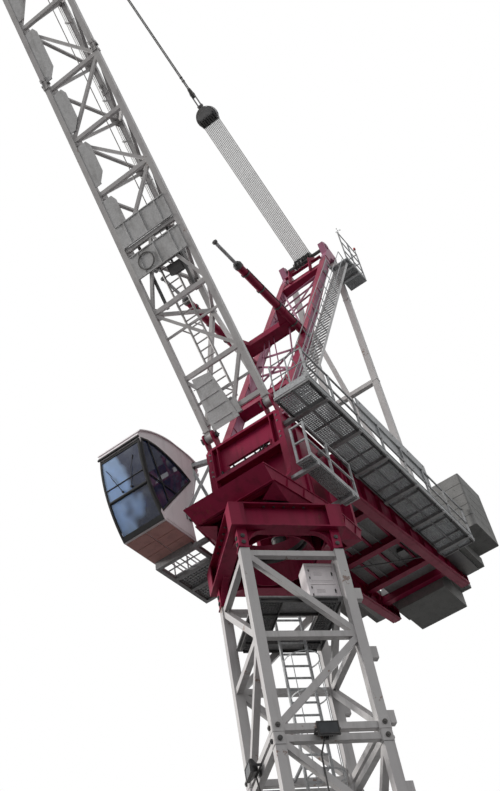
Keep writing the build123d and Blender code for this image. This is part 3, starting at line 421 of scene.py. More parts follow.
class Shape:
    """Gathers bars, plates and tubes of one body into one mesh."""

    def __init__(self, body="upper_works", place=None):
        self.mesh = bmesh.new()
        self.body = body
        self.place = PLACES[body] if place is None else place

    def ring(self, points):
        """Vertices at the given points of the shape's place."""
        return [self.mesh.verts.new(self.place @ Vector(p)) for p in points]

    def join(self, rings, closed=False):
        """Faces between one ring and the next, with ends unless the run is closed."""
        for low, high in [*pairwise(rings), (rings[-1], rings[0])][: None if closed else -1]:
            for k, start in enumerate(low):
                n = (k + 1) % len(low)
                self.mesh.faces.new((start, low[n], high[n], high[k]))
        if not closed:
            self.mesh.faces.new(rings[0][::-1])
            self.mesh.faces.new(rings[-1])

    def prism(self, ring, along):
        """Closes a ring of points into a solid that runs along a vector."""
        along = Vector(along)
        self.join([self.ring(ring), self.ring([Vector(p) + along for p in ring])])

    def plate(self, points, y, thickness):
        """A flat plate across y, drawn by x and z."""
        self.prism([(x, y, z) for x, z in points], (0, thickness, 0))

    def box(self, centre, size):
        """A box by its centre and its size."""
        x, y, z = (value / 2 for value in size)
        cx, cy, cz = centre
        corners = ((-x, -y), (x, -y), (x, y), (-x, y))
        self.prism([(cx + a, cy + b, cz - z) for a, b in corners], (0, 0, 2 * z))

    def bar(self, start, end, width, depth, up=Z):
        """A straight bar between two points, its depth lying towards up."""
        start, end = Vector(start), Vector(end)
        along = end - start
        side = Vector(up).cross(along)
        if side.length < 1e-6:
            side = Vector(X).cross(along)
        side.normalize()
        rise = along.cross(side).normalized()
        a, b = side * width / 2, rise * depth / 2
        self.prism([start - a - b, start + a - b, start + a + b, start - a + b], along)

    def _run(self, points, closed):
        """The points of a run, each with the direction of the run there."""
        points = [Vector(p) for p in points]
        last = len(points) - 1
        for i, point in enumerate(points):
            if closed:
                way = points[(i + 1) % (last + 1)] - points[i - 1]
            else:
                way = points[min(i + 1, last)] - points[max(i - 1, 0)]
            yield point, way.normalized()

    def tube(self, points, radius, sides=8):
        """A round tube that follows points."""
        rings = []
        side = None
        for point, way in self._run(points, False):
            side = way.orthogonal().normalized() if side is None else side
            side = (side - way * side.dot(way)).normalized()
            other = way.cross(side)
            rings.append(
                self.ring([point + (side * c + other * s) * radius for c, s in compass(sides)])
            )
        self.join(rings)

    def ribbon(self, points, side, width, thickness, closed=False):
        """A flat strip that follows points, its width lying along side."""
        half = Vector(side).normalized() * width / 2
        rings = []
        for point, way in self._run(points, closed):
            rise = way.cross(half).normalized() * thickness / 2
            corners = (-half - rise, half - rise, half + rise, -half + rise)
            rings.append(self.ring([point + corner for corner in corners]))
        self.join(rings, closed)

    def strip(self, points, y, width, thickness, closed=False):
        """A ribbon whose points are given by x and z and whose width lies across y."""
        self.ribbon([(x, y, z) for x, z in points], Y, width, thickness, closed)

    def lathe(self, centre, axis, profile, sides=20):
        """Turns a closed profile of (radius, place along the axis) round that axis."""
        axis = Vector(axis).normalized()
        spots = ((Vector(centre) + axis * along, radius) for radius, along in profile)
        self.join([self.ring(circle(spot, axis, radius, sides)) for spot, radius in spots], True)

    def collar(self, centre, axis, inner, outer, half, sides=20):
        """A square ring round an axis."""
        self.lathe(centre, axis, both_ways([(inner, half), (outer, half)]), sides)

    def disc(self, centre, axis, radius, length, sides=16):
        """A round disc about an axis, centred on a point."""
        axis = Vector(axis).normalized()
        self.prism(circle(Vector(centre) - axis * length / 2, axis, radius, sides), axis * length)

    def bolt(self, foot, axis, size, height):
        """A hexagon bolt head on its washer, standing on a face."""
        axis = Vector(axis).normalized()
        foot = Vector(foot)
        self.disc(foot + axis * height * 0.1, axis, size * 0.68, height * 0.2, 12)
        self.disc(foot + axis * height * 0.6, axis, size / 2, height * 0.8, 6)

    def bolts(self, centre, axis, radius, count, size, height, way=None):
        """A ring of bolts."""
        for point in circle(centre, axis, radius, count):
            self.bolt(point, way or axis, size, height)

    def spokes(self, centre, near, far, count, width, depth):
        """Ribs on a drum's end."""
        for c, s in compass(count):
            way = Vector((c, 0, s))
            self.bar(Vector(centre) + way * near, Vector(centre) + way * far, width, depth, Y)

    def sheave(self, centre, axis, radius, width, hub):
        """A rope sheave: hub, thin web and a grooved rim."""
        w = width / 2
        half = [
            (hub * 0.5, w), (hub, w), (hub * 1.15, w * 0.35), (radius * 0.78, w * 0.35),
            (radius * 0.84, w), (radius, w), (radius * 0.9, w * 0.2),
        ]
        self.lathe(centre, axis, both_ways(half), 28)

    def sheave_row(self, x, z, rim, groove):
        """The sheaves of the luffing ropes, side by side."""
        half = [(0.03, 0.018), (rim - 0.008, 0.018), (rim, 0.014), (groove, 0.004)]
        for number in range(SHEAVES):
            y = SHEAVE_FIRST + SHEAVE_PITCH * number
            self.lathe((x, y, z), Y, both_ways(half), 28)

    def coil(self, centre, radius, wire, length):
        """Rope wound closely along a drum that lies across y."""
        side = Vector(Y).orthogonal().normalized()
        other = Vector(Y).cross(side)
        steps = 18
        turns = int(length / (wire * 2.06))
        points = []
        for i in range(turns * steps + 1):
            a = 2 * math.pi * i / steps
            along = Vector(Y) * (i / (turns * steps) - 0.5) * length
            out = (side * math.cos(a) + other * math.sin(a)) * (radius + wire)
            points.append(Vector(centre) + along + out)
        self.tube(points, wire, 6)

    def grating(self, low, high, pitch=0.036, bar=0.003, depth=0.012):
        """Bars both ways over a rectangle, hanging below its level."""
        x0, y0, z = low
        x1, y1 = high
        z -= depth / 2
        for start, end, across in ((x0, x1, False), (y0, y1, True)):
            count = max(2, round((end - start) / pitch))
            for at in (start + (end - start) * k / count for k in range(count + 1)):
                if across:
                    self.box(((x0 + x1) / 2, at, z), (x1 - x0, bar, depth))
                else:
                    self.box((at, (y0 + y1) / 2, z), (bar, y1 - y0, depth))

    def rail(self, first, last, rise, post, step, middle=0.55):
        """A handrail above a straight run: posts, a top tube and one below it."""
        first, last, rise = Vector(first), Vector(last), Vector(rise)
        way = last - first
        count = max(1, round(way.length / step))
        for k in range(count + 1):
            foot = first + way * k / count
            self.tube([foot, foot + rise], post, 6)
        for level in (1.0, middle):
            self.tube([first + rise * level, last + rise * level], post * 0.9, 6)

    def finish(self, name, finish, slot=None, edge=0.0, smooth=False, replaces=()):
        """Makes the object, gives it a material and ties it to its body."""
        bmesh.ops.recalc_face_normals(self.mesh, faces=self.mesh.faces)
        data = bpy.data.meshes.new(name)
        self.mesh.to_mesh(data)
        self.mesh.free()
        made = bpy.data.objects.new(name, data)
        bpy.context.scene.collection.objects.link(made)
        data.materials.append(FINISHES[finish])
        if edge:
            bevel = made.modifiers.new("edge", "BEVEL")
            bevel.width = edge
            bevel.segments = 1
            bevel.limit_method = "ANGLE"
        if smooth:
            for polygon in data.polygons:
                polygon.use_smooth = len(polygon.vertices) == 4
        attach(made, self.body)
        if replaces:
            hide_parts(*replaces)


class CraneColours(bpy.types.PropertyGroup):
    """Colours of the main finishes."""

    lattice: FloatVectorProperty(
        name="Lattice",
        description="Grey of the mast and the jib",
        subtype="COLOR",
        default=(0.46, 0.445, 0.45),
    )
    works: FloatVectorProperty(
        name="Works",
        description="Crimson of the slewing works",
        subtype="COLOR",
        default=(0.27, 0.004, 0.046),
    )
    cab: FloatVectorProperty(
        name="Cab", description="White of the cab", subtype="COLOR", default=(0.76, 0.72, 0.74)
    )


class CraneStage(bpy.types.PropertyGroup):
    """Light and camera."""

    sky: FloatProperty(name="Sky light", description="Strength of the even light", default=0.84)
    sun: FloatProperty(name="Key light", description="Strength of the low key light", default=2.3)
    lens: FloatProperty(name="Lens", description="Camera lens in millimetres", default=48.61)


class CRANE_OT_stage(bpy.types.Operator):
    """Makes the floor, the light and the camera"""

    bl_idname = "crane.stage"
    bl_label = "Stage"

    def execute(self, context):
        scene = context.scene
        scene.view_settings.view_transform = "Standard"
        self.light(scene, scene.crane_stage)
        self.lay_floor(scene)
        self.aim(scene, scene.crane_stage.lens)
        return {"FINISHED"}

    def add(self, scene, name, data):
        """Links a new object to the scene."""
        made = bpy.data.objects.new(name, data)
        scene.collection.objects.link(made)
        return made

    def light(self, scene, stage):
        """An even sky that is paler above, seen as plain white, and a low key light."""
        world = bpy.data.worlds.new("studio")
        scene.world = world
        world.use_nodes = True
        sky = Tree(world.node_tree)
        place = sky.node("ShaderNodeTexCoord", {}, (), output="Generated")
        height = sky.node("ShaderNodeSeparateXYZ", {}, (place,), output="Z")
        stops = ((0.38, (0.03, 0.03, 0.032)), (0.62, (1.0, 1.0, 1.0)))
        shade = sky.node("ShaderNodeValToRGB", {"stops": stops}, (height * 0.5 + 0.5,))
        soft, white = (
            sky.node("ShaderNodeBackground", {}, {"Color": colour, "Strength": strength})
            for colour, strength in ((shade, stage.sky), ((1.0, 1.0, 1.0), 1.0))
        )
        blend = sky.node("ShaderNodeMixShader", {}, (sky.seen(), soft, white))
        sky.feed(sky.tree.nodes["World Output"].inputs["Surface"], blend)

        lamp = bpy.data.lights.new("key", "SUN")
        lamp.energy = stage.sun
        lamp.angle = math.radians(14)
        lamp.color = (1.0, 0.97, 0.93)
        towards = Vector((0.42, -0.86, 0.34))
        key = self.add(scene, "key", lamp)
        key.rotation_euler = towards.to_track_quat("Z", "Y").to_euler()

    def lay_floor(self, scene):
        """A pale floor just below the feet, which throws little light upwards."""
        reach = 300
        ground = bmesh.new()
        for x, y in ((-reach, -reach), (reach, -reach), (reach, reach), (-reach, reach)):
            ground.verts.new((x, y, -0.002))
        ground.faces.new(ground.verts)
        data = bpy.data.meshes.new("floor")
        ground.to_mesh(data)
        ground.free()
        finish = Finish("floor_pale")
        pale = finish.mix(finish.cloud(0.6, 4.0), (0.78, 0.78, 0.77), (0.82, 0.82, 0.81))
        finish.feed(finish.surface.inputs["Roughness"], 0.9)
        shade = finish.mix(finish.seen(), (0.06, 0.06, 0.06), pale)
        finish.feed(finish.surface.inputs["Base Color"], shade)
        data.materials.append(finish.material)
        self.add(scene, "floor", data)

    def aim(self, scene, lens):
        """The camera where the photo's stood."""
        camera = bpy.data.cameras.new("camera")
        camera.lens = lens
        camera.sensor_fit = "VERTICAL"
        camera.sensor_height = 36.0
        camera.clip_end = 500.0
        right = Vector((-0.58169829, 0.79979583, -0.14816789))
        down = Vector((-0.52407367, -0.50782548, -0.68371052))
        ahead = Vector((-0.62207225, -0.32006236, 0.71455315))
        turn = Matrix((right, -down, -ahead)).transposed().to_4x4()
        scene.camera = self.add(scene, "camera", camera)
        scene.camera.matrix_world = Matrix.Translation((9.0202, 4.7668, 1.9353)) @ turn


FINISHES = {}
NODES_BY_FINISH = {
    "lattice": "base_frame mast_chords mast_side_front mast_side_right mast_side_back "
    "mast_side_left mast_joint_plates climbing_lugs jib_chords jib_lower_face "
    "jib_left_face jib_right_face jib_head hook_block rear_ties",
    "works": "tower_head slewing_deck turntable jib_brackets counter_jib_frame "
    "a_frame_beams backstop_arms",
    "legs": "a_frame_legs",
    "zinc": "mast_ladder walkway_railing head_platform side_platform "
    "cab_supports backstop_rods",
    "pale_zinc": "jib_plates",
    "step": "a_frame_ladder",
    "grating": "mast_platform machinery_deck walkway cab_platform",
    "concrete": "lower_ballast ballast_stacks",
    "dark": "slewing_ring_fixed slewing_ring_turning luffing_winch hoist_winch "
    "floating_block a_frame_sheaves jib_head_sheave floodlights",
    "rope": "pendants",
    "pale_rope": "luffing_ropes",
    "cab": "cab_shell control_cabinets",
    "cabinet": "switch_cabinet",
    "glass": "cab_glass",
    "seat": "cab_seat",
}


class CRANE_OT_finishes(bpy.types.Operator):
    """Makes the materials and gives the frame's nodes theirs"""

    bl_idname = "crane.finishes"
    bl_label = "Finishes"

    def execute(self, context):
        tint = context.scene.crane_colours
        white = (0.82, 0.77, 0.79), (0.40, 0.35, 0.37)
        crimson = (0.24, 0.012, 0.045), (0.040, 0.004, 0.010)
        # Pink purple paler than the works crimson: a painted sheen of sky light. The last colour is
        # real dirt.
        sky_sheen_pinks = (0.33, 0.115, 0.19), (0.37, 0.16, 0.245), (0.10, 0.02, 0.035)
        stone = (0.09, 0.09, 0.088), (0.12, 0.12, 0.115), (0.04, 0.038, 0.035)
        board = (0.52, 0.27, 0.25), (0.62, 0.38, 0.35), (0.22, 0.13, 0.12)
        FINISHES.update(
            lattice=painted("lattice_grey", tint.lattice, (0.52, 0.51, 0.505), (0.20, 0.19, 0.185)),
            works=painted("works_crimson", tint.works, *crimson, 0.45, 0.6, 0.05, 0.20),
            # The A frame's legs and braces get the crimson with its painted sky sheen.
            legs=painted("works_painted_sky_sheen", *sky_sheen_pinks, 0.45, 0.6, 0.05, 0.3),
            cab=painted("cab_white", tint.cab, *white, 0.42, 0.3, 0.0),
            cabinet=painted("cabinet_grey", *stone, 0.45, 0.5, 0.05, 0.3),
            zinc=galvanised("zinc"),
            pale_zinc=galvanised("pale_zinc", (0.50, 0.50, 0.505), (0.38, 0.38, 0.385), 0.15),
            grating=galvanised("grating_zinc", (0.25, 0.25, 0.255), (0.15, 0.15, 0.155), 0.05),
            concrete=concrete("ballast_concrete"),
            dark=greased("dark_steel"),
            bolt=galvanised("bolt_steel", (0.30, 0.30, 0.30), (0.10, 0.10, 0.10), 0.6),
            rope=laid_rope("wire_rope"),
            glass=glass_with_painted_sky("cab_glass"),
            rubber=moulded("black_rubber", (0.018, 0.018, 0.019), (0.04, 0.04, 0.04)),
            seat=moulded("seat_cloth", (0.03, 0.03, 0.035), (0.06, 0.06, 0.065), 0.8),
            sheave=moulded("sheave_nylon", (0.42, 0.36, 0.27), (0.30, 0.25, 0.18), 0.5),
            lens=lamp_lens("lamp_lens"),
            floor_board=painted("cab_floor_board", *board, 0.6, 0.5, 0.0, 0.3),
            hook=painted("hook_paint", (0.40, 0.40, 0.39), (0.46, 0.455, 0.44), (0.14, 0.13, 0.12)),
            dark_rope=laid_rope("pendant_rope", (0.20, 0.20, 0.20), (0.11, 0.11, 0.11)),
            pale_rope=laid_rope("falls_rope", (0.72, 0.72, 0.72), (0.36, 0.36, 0.36)),
            bearer=galvanised("bearer_zinc", (0.30, 0.30, 0.305), (0.18, 0.18, 0.185), 0.2),
            step=galvanised("step_zinc", (0.66, 0.66, 0.66), (0.46, 0.46, 0.465), 0.05),
            lining=moulded("cab_lining_vinyl", (0.020, 0.024, 0.024), (0.035, 0.040, 0.038), 0.7),
            dull_glass=moulded("lamp_dark_glass", (0.05, 0.055, 0.06), (0.09, 0.095, 0.10), 0.25),
            beacon=moulded("beacon_red", (0.45, 0.02, 0.015), (0.55, 0.05, 0.03), 0.2),
        )
        for finish, names in NODES_BY_FINISH.items():
            for name in names.split():
                data = nodes[name].data
                data.materials.clear()
                data.materials.append(FINISHES[finish])
        return {"FINISHED"}


def raised(z, y=0.0, x=0.0):
    """A place that is shifted and not turned."""
    return Matrix.Translation((x, y, z))


def rectangle(x, y, z):
    """Corners of an upright rectangle across y."""
    return [(-x, y, -z), (x, y, -z), (x, y, z), (-x, y, z)]


class CRANE_OT_mast(bpy.types.Operator):
    """Makes the mast's sleeves and pins, ladder cage, platform bars, doors and anchor bolts"""

    bl_idname = "crane.mast"
    bl_label = "Mast"

    def execute(self, context):
        self.join_sections()
        self.weld_plates()
        self.cage_ladder()
        self.fit_platform()
        self.hang_doors()
        self.bolt_down()
        return {"FINISHED"}

    def join_sections(self):
        """Sleeves and pins where the chords of two sections meet."""
        sleeves, pins = Shape("mast"), Shape("mast")
        overlap = 0.13
        corner = ((1, 0.8), (0.8, 1), (-0.8, 1), (-1, 0.8))
        outline = [*corner, *((-a, -b) for a, b in corner)]
        for level, x, y in product(JOINT_LEVELS, (-GAUGE, GAUGE), (-GAUGE, GAUGE)):
            for low, half in ((-overlap, 0.0625), (0.0, 0.0655)):
                ring = [(x + a * half, y + b * half, level + low) for a, b in outline]
                sleeves.prism(ring, (0, 0, overlap))
            for rise, axis in product((-0.07, 0.07), (X, Y)):
                pins.disc((x, y, level + rise), axis, 0.026, 0.158, 12)
                pins.disc((x, y, level + rise), axis, 0.013, 0.172, 8)
        sleeves.finish("mast_joint_sleeves", "lattice", edge=0.003, replaces=["mast_joint_plates"])
        pins.finish("mast_joint_pins", "dark")

    def weld_plates(self):
        """Gussets and end plates where the bars meet the chords."""
        welds = Shape("mast")
        inner, face, leg = GAUGE - 0.055, -GAUGE - 0.004, 0.13
        for quarter, section in product(quarters(), range(4)):
            welds.place = MAST @ quarter
            low = SECTION_FOOT + SECTION_TALL * section + 0.06
            middle, high = low + 1.065, low + 2.13
            for side, level, lean in ((-1, high, -leg), (1, middle, -leg), (-1, low, leg)):
                spots = ((inner, level), (inner - leg, level), (inner, level + lean))
                welds.plate([(side * x, z) for x, z in spots], face, 0.008)
            for side, level in product(SIDES, (low, middle, high)):
                welds.box((side * (inner - 0.004), -GAUGE, level), (0.008, 0.082, 0.082))
        welds.finish("mast_weld_plates", "lattice")

    def cage_ladder(self):
        """Hoops and upright strips round the ladder."""
        cage = Shape("mast")
        hoop = [(0.04 + 0.2 * c, -0.04 + 0.2 * s) for c, s in compass(17, 138, 264 / 16)]
        levels = [1.4 + 0.45 * k for k in range(HOOPS)]
        for z in levels:
            points = [(-0.11, 0.14, z), *((x, y, z) for x, y in hoop), (0.19, 0.14, z)]
            cage.ribbon(points, Z, 0.016, 0.004)
        for k in (2, 5, 8, 11, 14):
            cage.tube([(*hoop[k], levels[0]), (*hoop[k], levels[-1])], 0.005, 5)
        cage.finish("mast_ladder_cage", "zinc")

    def fit_platform(self):
        """Bearers, toe boards, handrail and bars of the service platform."""
        place = MAST @ raised(PLATFORM)
        edges, bars = Shape("mast", place), Shape("mast", place)
        outer, span = GAUGE - 0.07, 2 * GAUGE - 0.22
        for x in (-outer, -0.19, 0.27, outer):
            edges.box((x, 0, -0.03), (0.008, span, 0.04))
        for y in (-outer, -0.23, 0.31, outer):
            edges.box((0, y, -0.03), (span, 0.008, 0.04))
        for centre, size in (
            ((0.04, 0.305, 0.03), (0.46, 0.006, 0.04)),
            ((0.04, -0.225, 0.03), (0.46, 0.006, 0.04)),
            ((-0.185, 0.04, 0.03), (0.006, 0.53, 0.04)),
        ):
            edges.box(centre, size)
        left, right, y, top = -0.17, 0.25, 0.29, 0.5
        for x in (left, right):
            edges.tube([(x, y, 0.01), (x, y, top)], 0.009)
        edges.tube([(left, y, top), (right, y, top)], 0.009)
        edges.finish("mast_platform_frame", "dark", "galvanised", 0.001)
        inner = GAUGE - 0.11
        bars.grating((-inner, -inner, -0.01), (-0.2, inner), 0.034)
        bars.grating((0.28, -inner, -0.01), (inner, inner), 0.034)
        bars.finish("mast_platform_grating", "grating")

    def hang_doors(self):
        """Doors, hinges, handles, slots and cable glands of the control cabinets."""
        place = MAST @ raised(PLATFORM + 0.01)
        doors, trim = Shape("mast", place), Shape("mast", place)
        for low, high in ((0.035, 0.205), (0.245, 0.455)):
            z = (low + high) / 2
            doors.box((0.33, -0.4335, z), (0.288, 0.009, high - low))
            doors.box((0.33, -0.4395, z), (0.252, 0.004, high - low - 0.04))
            trim.box((0.455, -0.444, z), (0.012, 0.010, 0.05))
            trim.disc((0.455, -0.450, z), Y, 0.009, 0.008, 10)
            for hinge in (z - 0.05, z + 0.05):
                trim.tube([(0.192, -0.440, hinge - 0.014), (0.192, -0.440, hinge + 0.014)], 0.006)
            for k in range(5):
                doors.box((0.29, -0.4425, z - 0.02 + k * 0.011), (0.10, 0.004, 0.004))
        for k in range(4):
            trim.disc((0.22 + k * 0.06, -0.33, -0.022), Z, 0.014, 0.024, 10)
        doors.finish("cabinet_doors", "cab", edge=0.002)
        trim.finish("cabinet_handles", "rubber")

    def bolt_down(self):
        """Washer, two nuts and a stud at each anchor hole."""
        foot = Shape("mast")
        rows = ((0.033, 0.033, 0.006, 16), (0.050, 0.028, 0.028, 6))
        rows += ((0.073, 0.026, 0.016, 6), (0.052, 0.0165, 0.104, 12))
        for quarter, (x, y) in product(quarters(), ((0.69, 0.69), (0.69, 0.52), (0.52, 0.69))):
            for z, radius, tall, sides in rows:
                foot.disc(quarter @ Vector((x, y, z)), Z, radius, tall, sides)
        foot.finish("anchor_studs", "bolt", edge=0.001)


class CRANE_OT_floodlights(bpy.types.Operator):
    """Makes the two floodlights with their brackets and poles"""

    bl_idname = "crane.floodlights"
    bl_label = "Floodlights"

    def execute(self, context):
        housing, glass = Shape("mast"), Shape("mast")
        body = ((0.084, -0.03, 0.054), (0.084, -0.012, 0.054), (0.06, 0.02, 0.035))
        body += ((0.045, 0.03, 0.025),)
        for spot, turn in (((-0.08, -0.672, 6.97), 0), ((-0.672, 0.08, 6.97), -90)):
            place = MAST @ Matrix.Translation(spot) @ Matrix.Rotation(math.radians(turn), 4, "Z")
            housing.place = glass.place = place @ Matrix.Scale(1.35, 4)
            housing.join([housing.ring(rectangle(*sizes)) for sizes in body])
            for k in range(7):
                housing.box((-0.036 + 0.012 * k, 0.022, 0), (0.003, 0.03, 0.075))
            for side in SIDES:
                housing.bar((side * 0.088, 0, 0), (side * 0.088, 0.05, 0), 0.005, 0.022)
                housing.disc((side * 0.09, -0.004, 0), X, 0.012, 0.012, 10)
            housing.box((0, 0.052, 0), (0.18, 0.006, 0.022))
            housing.box((0, 0.062, -0.02), (0.034, 0.02, 0.05))
            housing.ribbon(rectangle(0.076, -0.033, 0.046), Y, 0.008, 0.010, closed=True)
            glass.prism(rectangle(0.070, -0.0335, 0.040), (0, 0.003, 0))
            pole = [(-0.02, 0.03, -0.04), (-0.064, 0.055, -0.16), (-0.066, 0.06, -0.48)]
            housing.tube(pole, 0.007)
        housing.finish("floodlight_housings", "dark", edge=0.002, replaces=["floodlights"])
        glass.finish("floodlight_glass", "dull_glass")
        return {"FINISHED"}


class CRANE_OT_tower_head(bpy.types.Operator):
    """Makes the tower head's pins, stiffeners and bolts and the slewing ring's teeth"""

    bl_idname = "crane.tower_head"
    bl_label = "Tower head"

    def execute(self, context):
        self.stiffen_beams()
        self.cut_teeth()
        return {"FINISHED"}

    def stiffen_beams(self):
        """Ribs, flanges, curved knees, pins and bolts on the four beams and the drum."""
        plates, pins = Shape("mast"), Shape("mast")
        middle = (BEAM_BOTTOM + BEAM_TOP) / 2
        depth = BEAM_TOP - BEAM_BOTTOM - 0.036
        knee, clear = 0.230, 0.495
        bow = 0.29 * knee
        for quarter in quarters():
            plates.place = pins.place = MAST @ quarter
            for z in (BEAM_BOTTOM + 0.022, BEAM_TOP - 0.022):
                plates.ribbon([(-0.58, -0.577, z), (0.58, -0.577, z)], Z, 0.010, 0.010)
            for side in SIDES:
                plates.box((side * 0.36, -0.562, middle), (0.010, 0.030, depth))
                curve = arc(
                    (side * (clear - 0.002), -GAUGE, BEAM_BOTTOM - knee),
                    (side * (clear - bow), -GAUGE, BEAM_BOTTOM - bow),
                    (side * (clear - knee), -GAUGE, BEAM_BOTTOM - 0.002),
                    9,
                )
                plates.ribbon(curve, Y, 0.075, 0.008)
                for z in (9.325, 9.415):
                    pins.disc((side * GAUGE, -GAUGE - 0.056, z), Y, 0.026, 0.022, 14)
                    pins.disc((side * GAUGE, -GAUGE - 0.068, z), Y, 0.012, 0.008, 8)
                plates.box((side * GAUGE, -GAUGE - 0.03, 9.258), (0.132, 0.072, 0.016))
            for k in range(5):
                pins.bolt((-0.24 + 0.12 * k, -0.62, BEAM_TOP - 0.018), DOWN, 0.026, 0.014)
        plates.place = MAST
        plates.collar((0, 0, 9.687), Z, 0.462, 0.474, 0.152, 48)
        near = 0.474
        for k, (c, s) in enumerate(compass(8, 22.5)):
            far = 0.56 if k % 2 else 0.565
            plates.bar((near * c, near * s, 9.69), (far * c, far * s, 9.69), 0.010, 0.29)
        plates.finish("tower_head_plates", "works", edge=0.001)
        pins.finish("tower_head_pins", "dark")

    def cut_teeth(self):
        """The slewing ring's teeth, bolts and seal."""
        ring = Shape("mast", WORKS)
        for point in circle((0, 0, BEAM_TOP + 0.008), Z, 0.596, 96):
            way = Vector((point.x, point.y, 0)).normalized()
            side = Vector((-way.y, way.x, 0))
            foot = point - way * 0.008
            tip = foot + way * 0.019
            root = [foot + side * 0.012, foot - side * 0.012]
            ring.prism([*root, tip - side * 0.005, tip + side * 0.005], (0, 0, 0.046))
        ring.bolts((0, 0, BEAM_TOP - 0.018), Z, 0.530, 40, 0.024, 0.016, DOWN)
        ring.finish("slewing_ring_teeth", "dark")
        seal = Shape(place=raised(RING_TOP))
        lip = [(0.574, -0.06), (0.584, -0.06), (0.586, -0.045), (0.574, -0.045)]
        seal.lathe((0, 0, 0), Z, lip, 72)
        for point in circle((0, 0, -0.066), Z, 0.478, 24):
            seal.disc(point, Z, 0.006, 0.006, 6)
        seal.finish("slewing_ring_seal", "rubber")


class CRANE_OT_deck(bpy.types.Operator):
    """Makes the slewing deck's ribs, edge flanges and the slewing drives"""

    bl_idname = "crane.deck"
    bl_label = "Slewing deck"

    def execute(self, context):
        self.stiffen()
        self.fit_drives()
        return {"FINISHED"}

    def stiffen(self):
        """Ribs and flanges under the deck, and the sloped skirt round the ring."""
        ribs = Shape(place=raised(RING_TOP))
        middle, deep = 0.066, DECK_TOP - RING_TOP
        for x in (-0.78, 0.65):
            ribs.box((x, 0, middle), (0.012, 1.03, 0.125))
            ribs.box((x, 0, 0.008), (0.070, 1.02, 0.010))
        ribs.box((0.730, 0, 0.006), (0.030, 1.10, 0.010))
        for side in SIDES:
            ribs.box((-0.78, side * 0.28, middle), (0.34, 0.012, 0.120))
            for end in SIDES:
                start = (end * 0.43, side * 0.43, middle)
                ribs.bar(start, (end * 0.58, side * 0.515, middle), 0.012, 0.120)
            rim = [(-1.004, 0.703), (-0.33, 0.703), (0.728, 0.566)]
            ribs.ribbon([(x, side * y, 0.006) for x, y in rim], (0, side, 0), 0.034, 0.010)
            rim = [(-1.0, 0.742), (-0.33, 0.742), (0.925, 0.582)]
            ribs.ribbon([(x, side * y, deep - 0.008) for x, y in rim], Z, 0.014, 0.012)
            for x in (-0.86, -0.6, -0.2, 0.2, 0.5):
                y = 0.72 - max(0.0, x + 0.33) * 0.128
                foot, head = (x, side * (y - 0.012), 0.02), (x, side * (y + 0.012), deep - 0.02)
                ribs.bar(foot, head, 0.010, 0.030)
        ribs.finish("slewing_deck_ribs", "works", edge=0.001)

        skirt = Shape(place=raised(RING_TOP))
        top, low = 0.003, -0.088
        upper = [(-0.96, 0.700), (-0.33, 0.700), (0.40, 0.606), (0.722, 0.562)]
        lower = [(-0.66, 0.565), (-0.30, 0.565), (0.40, 0.520), (0.640, 0.330)]
        for side, (a, b) in product(SIDES, pairwise(zip(upper, lower))):
            ring = [(*a[0], top), (*b[0], top), (*b[1], low), (*a[1], low)]
            skirt.prism([(x, side * y, z) for x, y, z in ring], (0, side * 0.003, 0.004))
        skirt.finish("slewing_deck_skirt", "works")

    def fit_drives(self):
        """Pinions, gearboxes and ribbed motors of the slewing drives."""
        drives, motors = Shape(), Shape()
        pinion = [(0.002, 9.86), (0.052, 9.86), (0.052, 9.92), (0.030, 9.925)]
        pinion += [(0.030, 10.05), (0.002, 10.05)]
        gearbox = [(0.002, DECK_TOP), (0.120, DECK_TOP), (0.120, 10.165), (0.092, 10.17)]
        gearbox += [(0.092, 10.30), (0.100, 10.31), (0.100, 10.33), (0.075, 10.36), (0.002, 10.36)]
        rib = ((0.058, 0), (0.068, 0.004), (0.068, 0.010), (0.058, 0.014))
        motor = [(0.002, 10.36), *fins(10.37, 0.022, 9, *rib), (0.058, 10.58), (0.062, 10.585)]
        motor += [(0.062, 10.63), (0.040, 10.65), (0.002, 10.65)]
        for y in (-0.22, 0.22):
            drives.place = motors.place = raised(0, y, -0.611)
            drives.lathe((0, 0, 0), Z, pinion, 18)
            for c, s in compass(14):
                drives.box((0.052 * c, 0.052 * s, 9.89), (0.012, 0.012, 0.056))
            drives.lathe((0, 0, 0), Z, gearbox, 24)
            drives.bolts((0, 0, 10.165), Z, 0.105, 10, 0.018, 0.012)
            motors.lathe((0, 0, 0), Z, motor, 20)
            motors.box((0.07, 0, 10.50), (0.04, 0.05, 0.05))
        drives.finish("slewing_gearboxes", "dark", edge=0.001)
        motors.finish("slewing_motors", "cabinet")


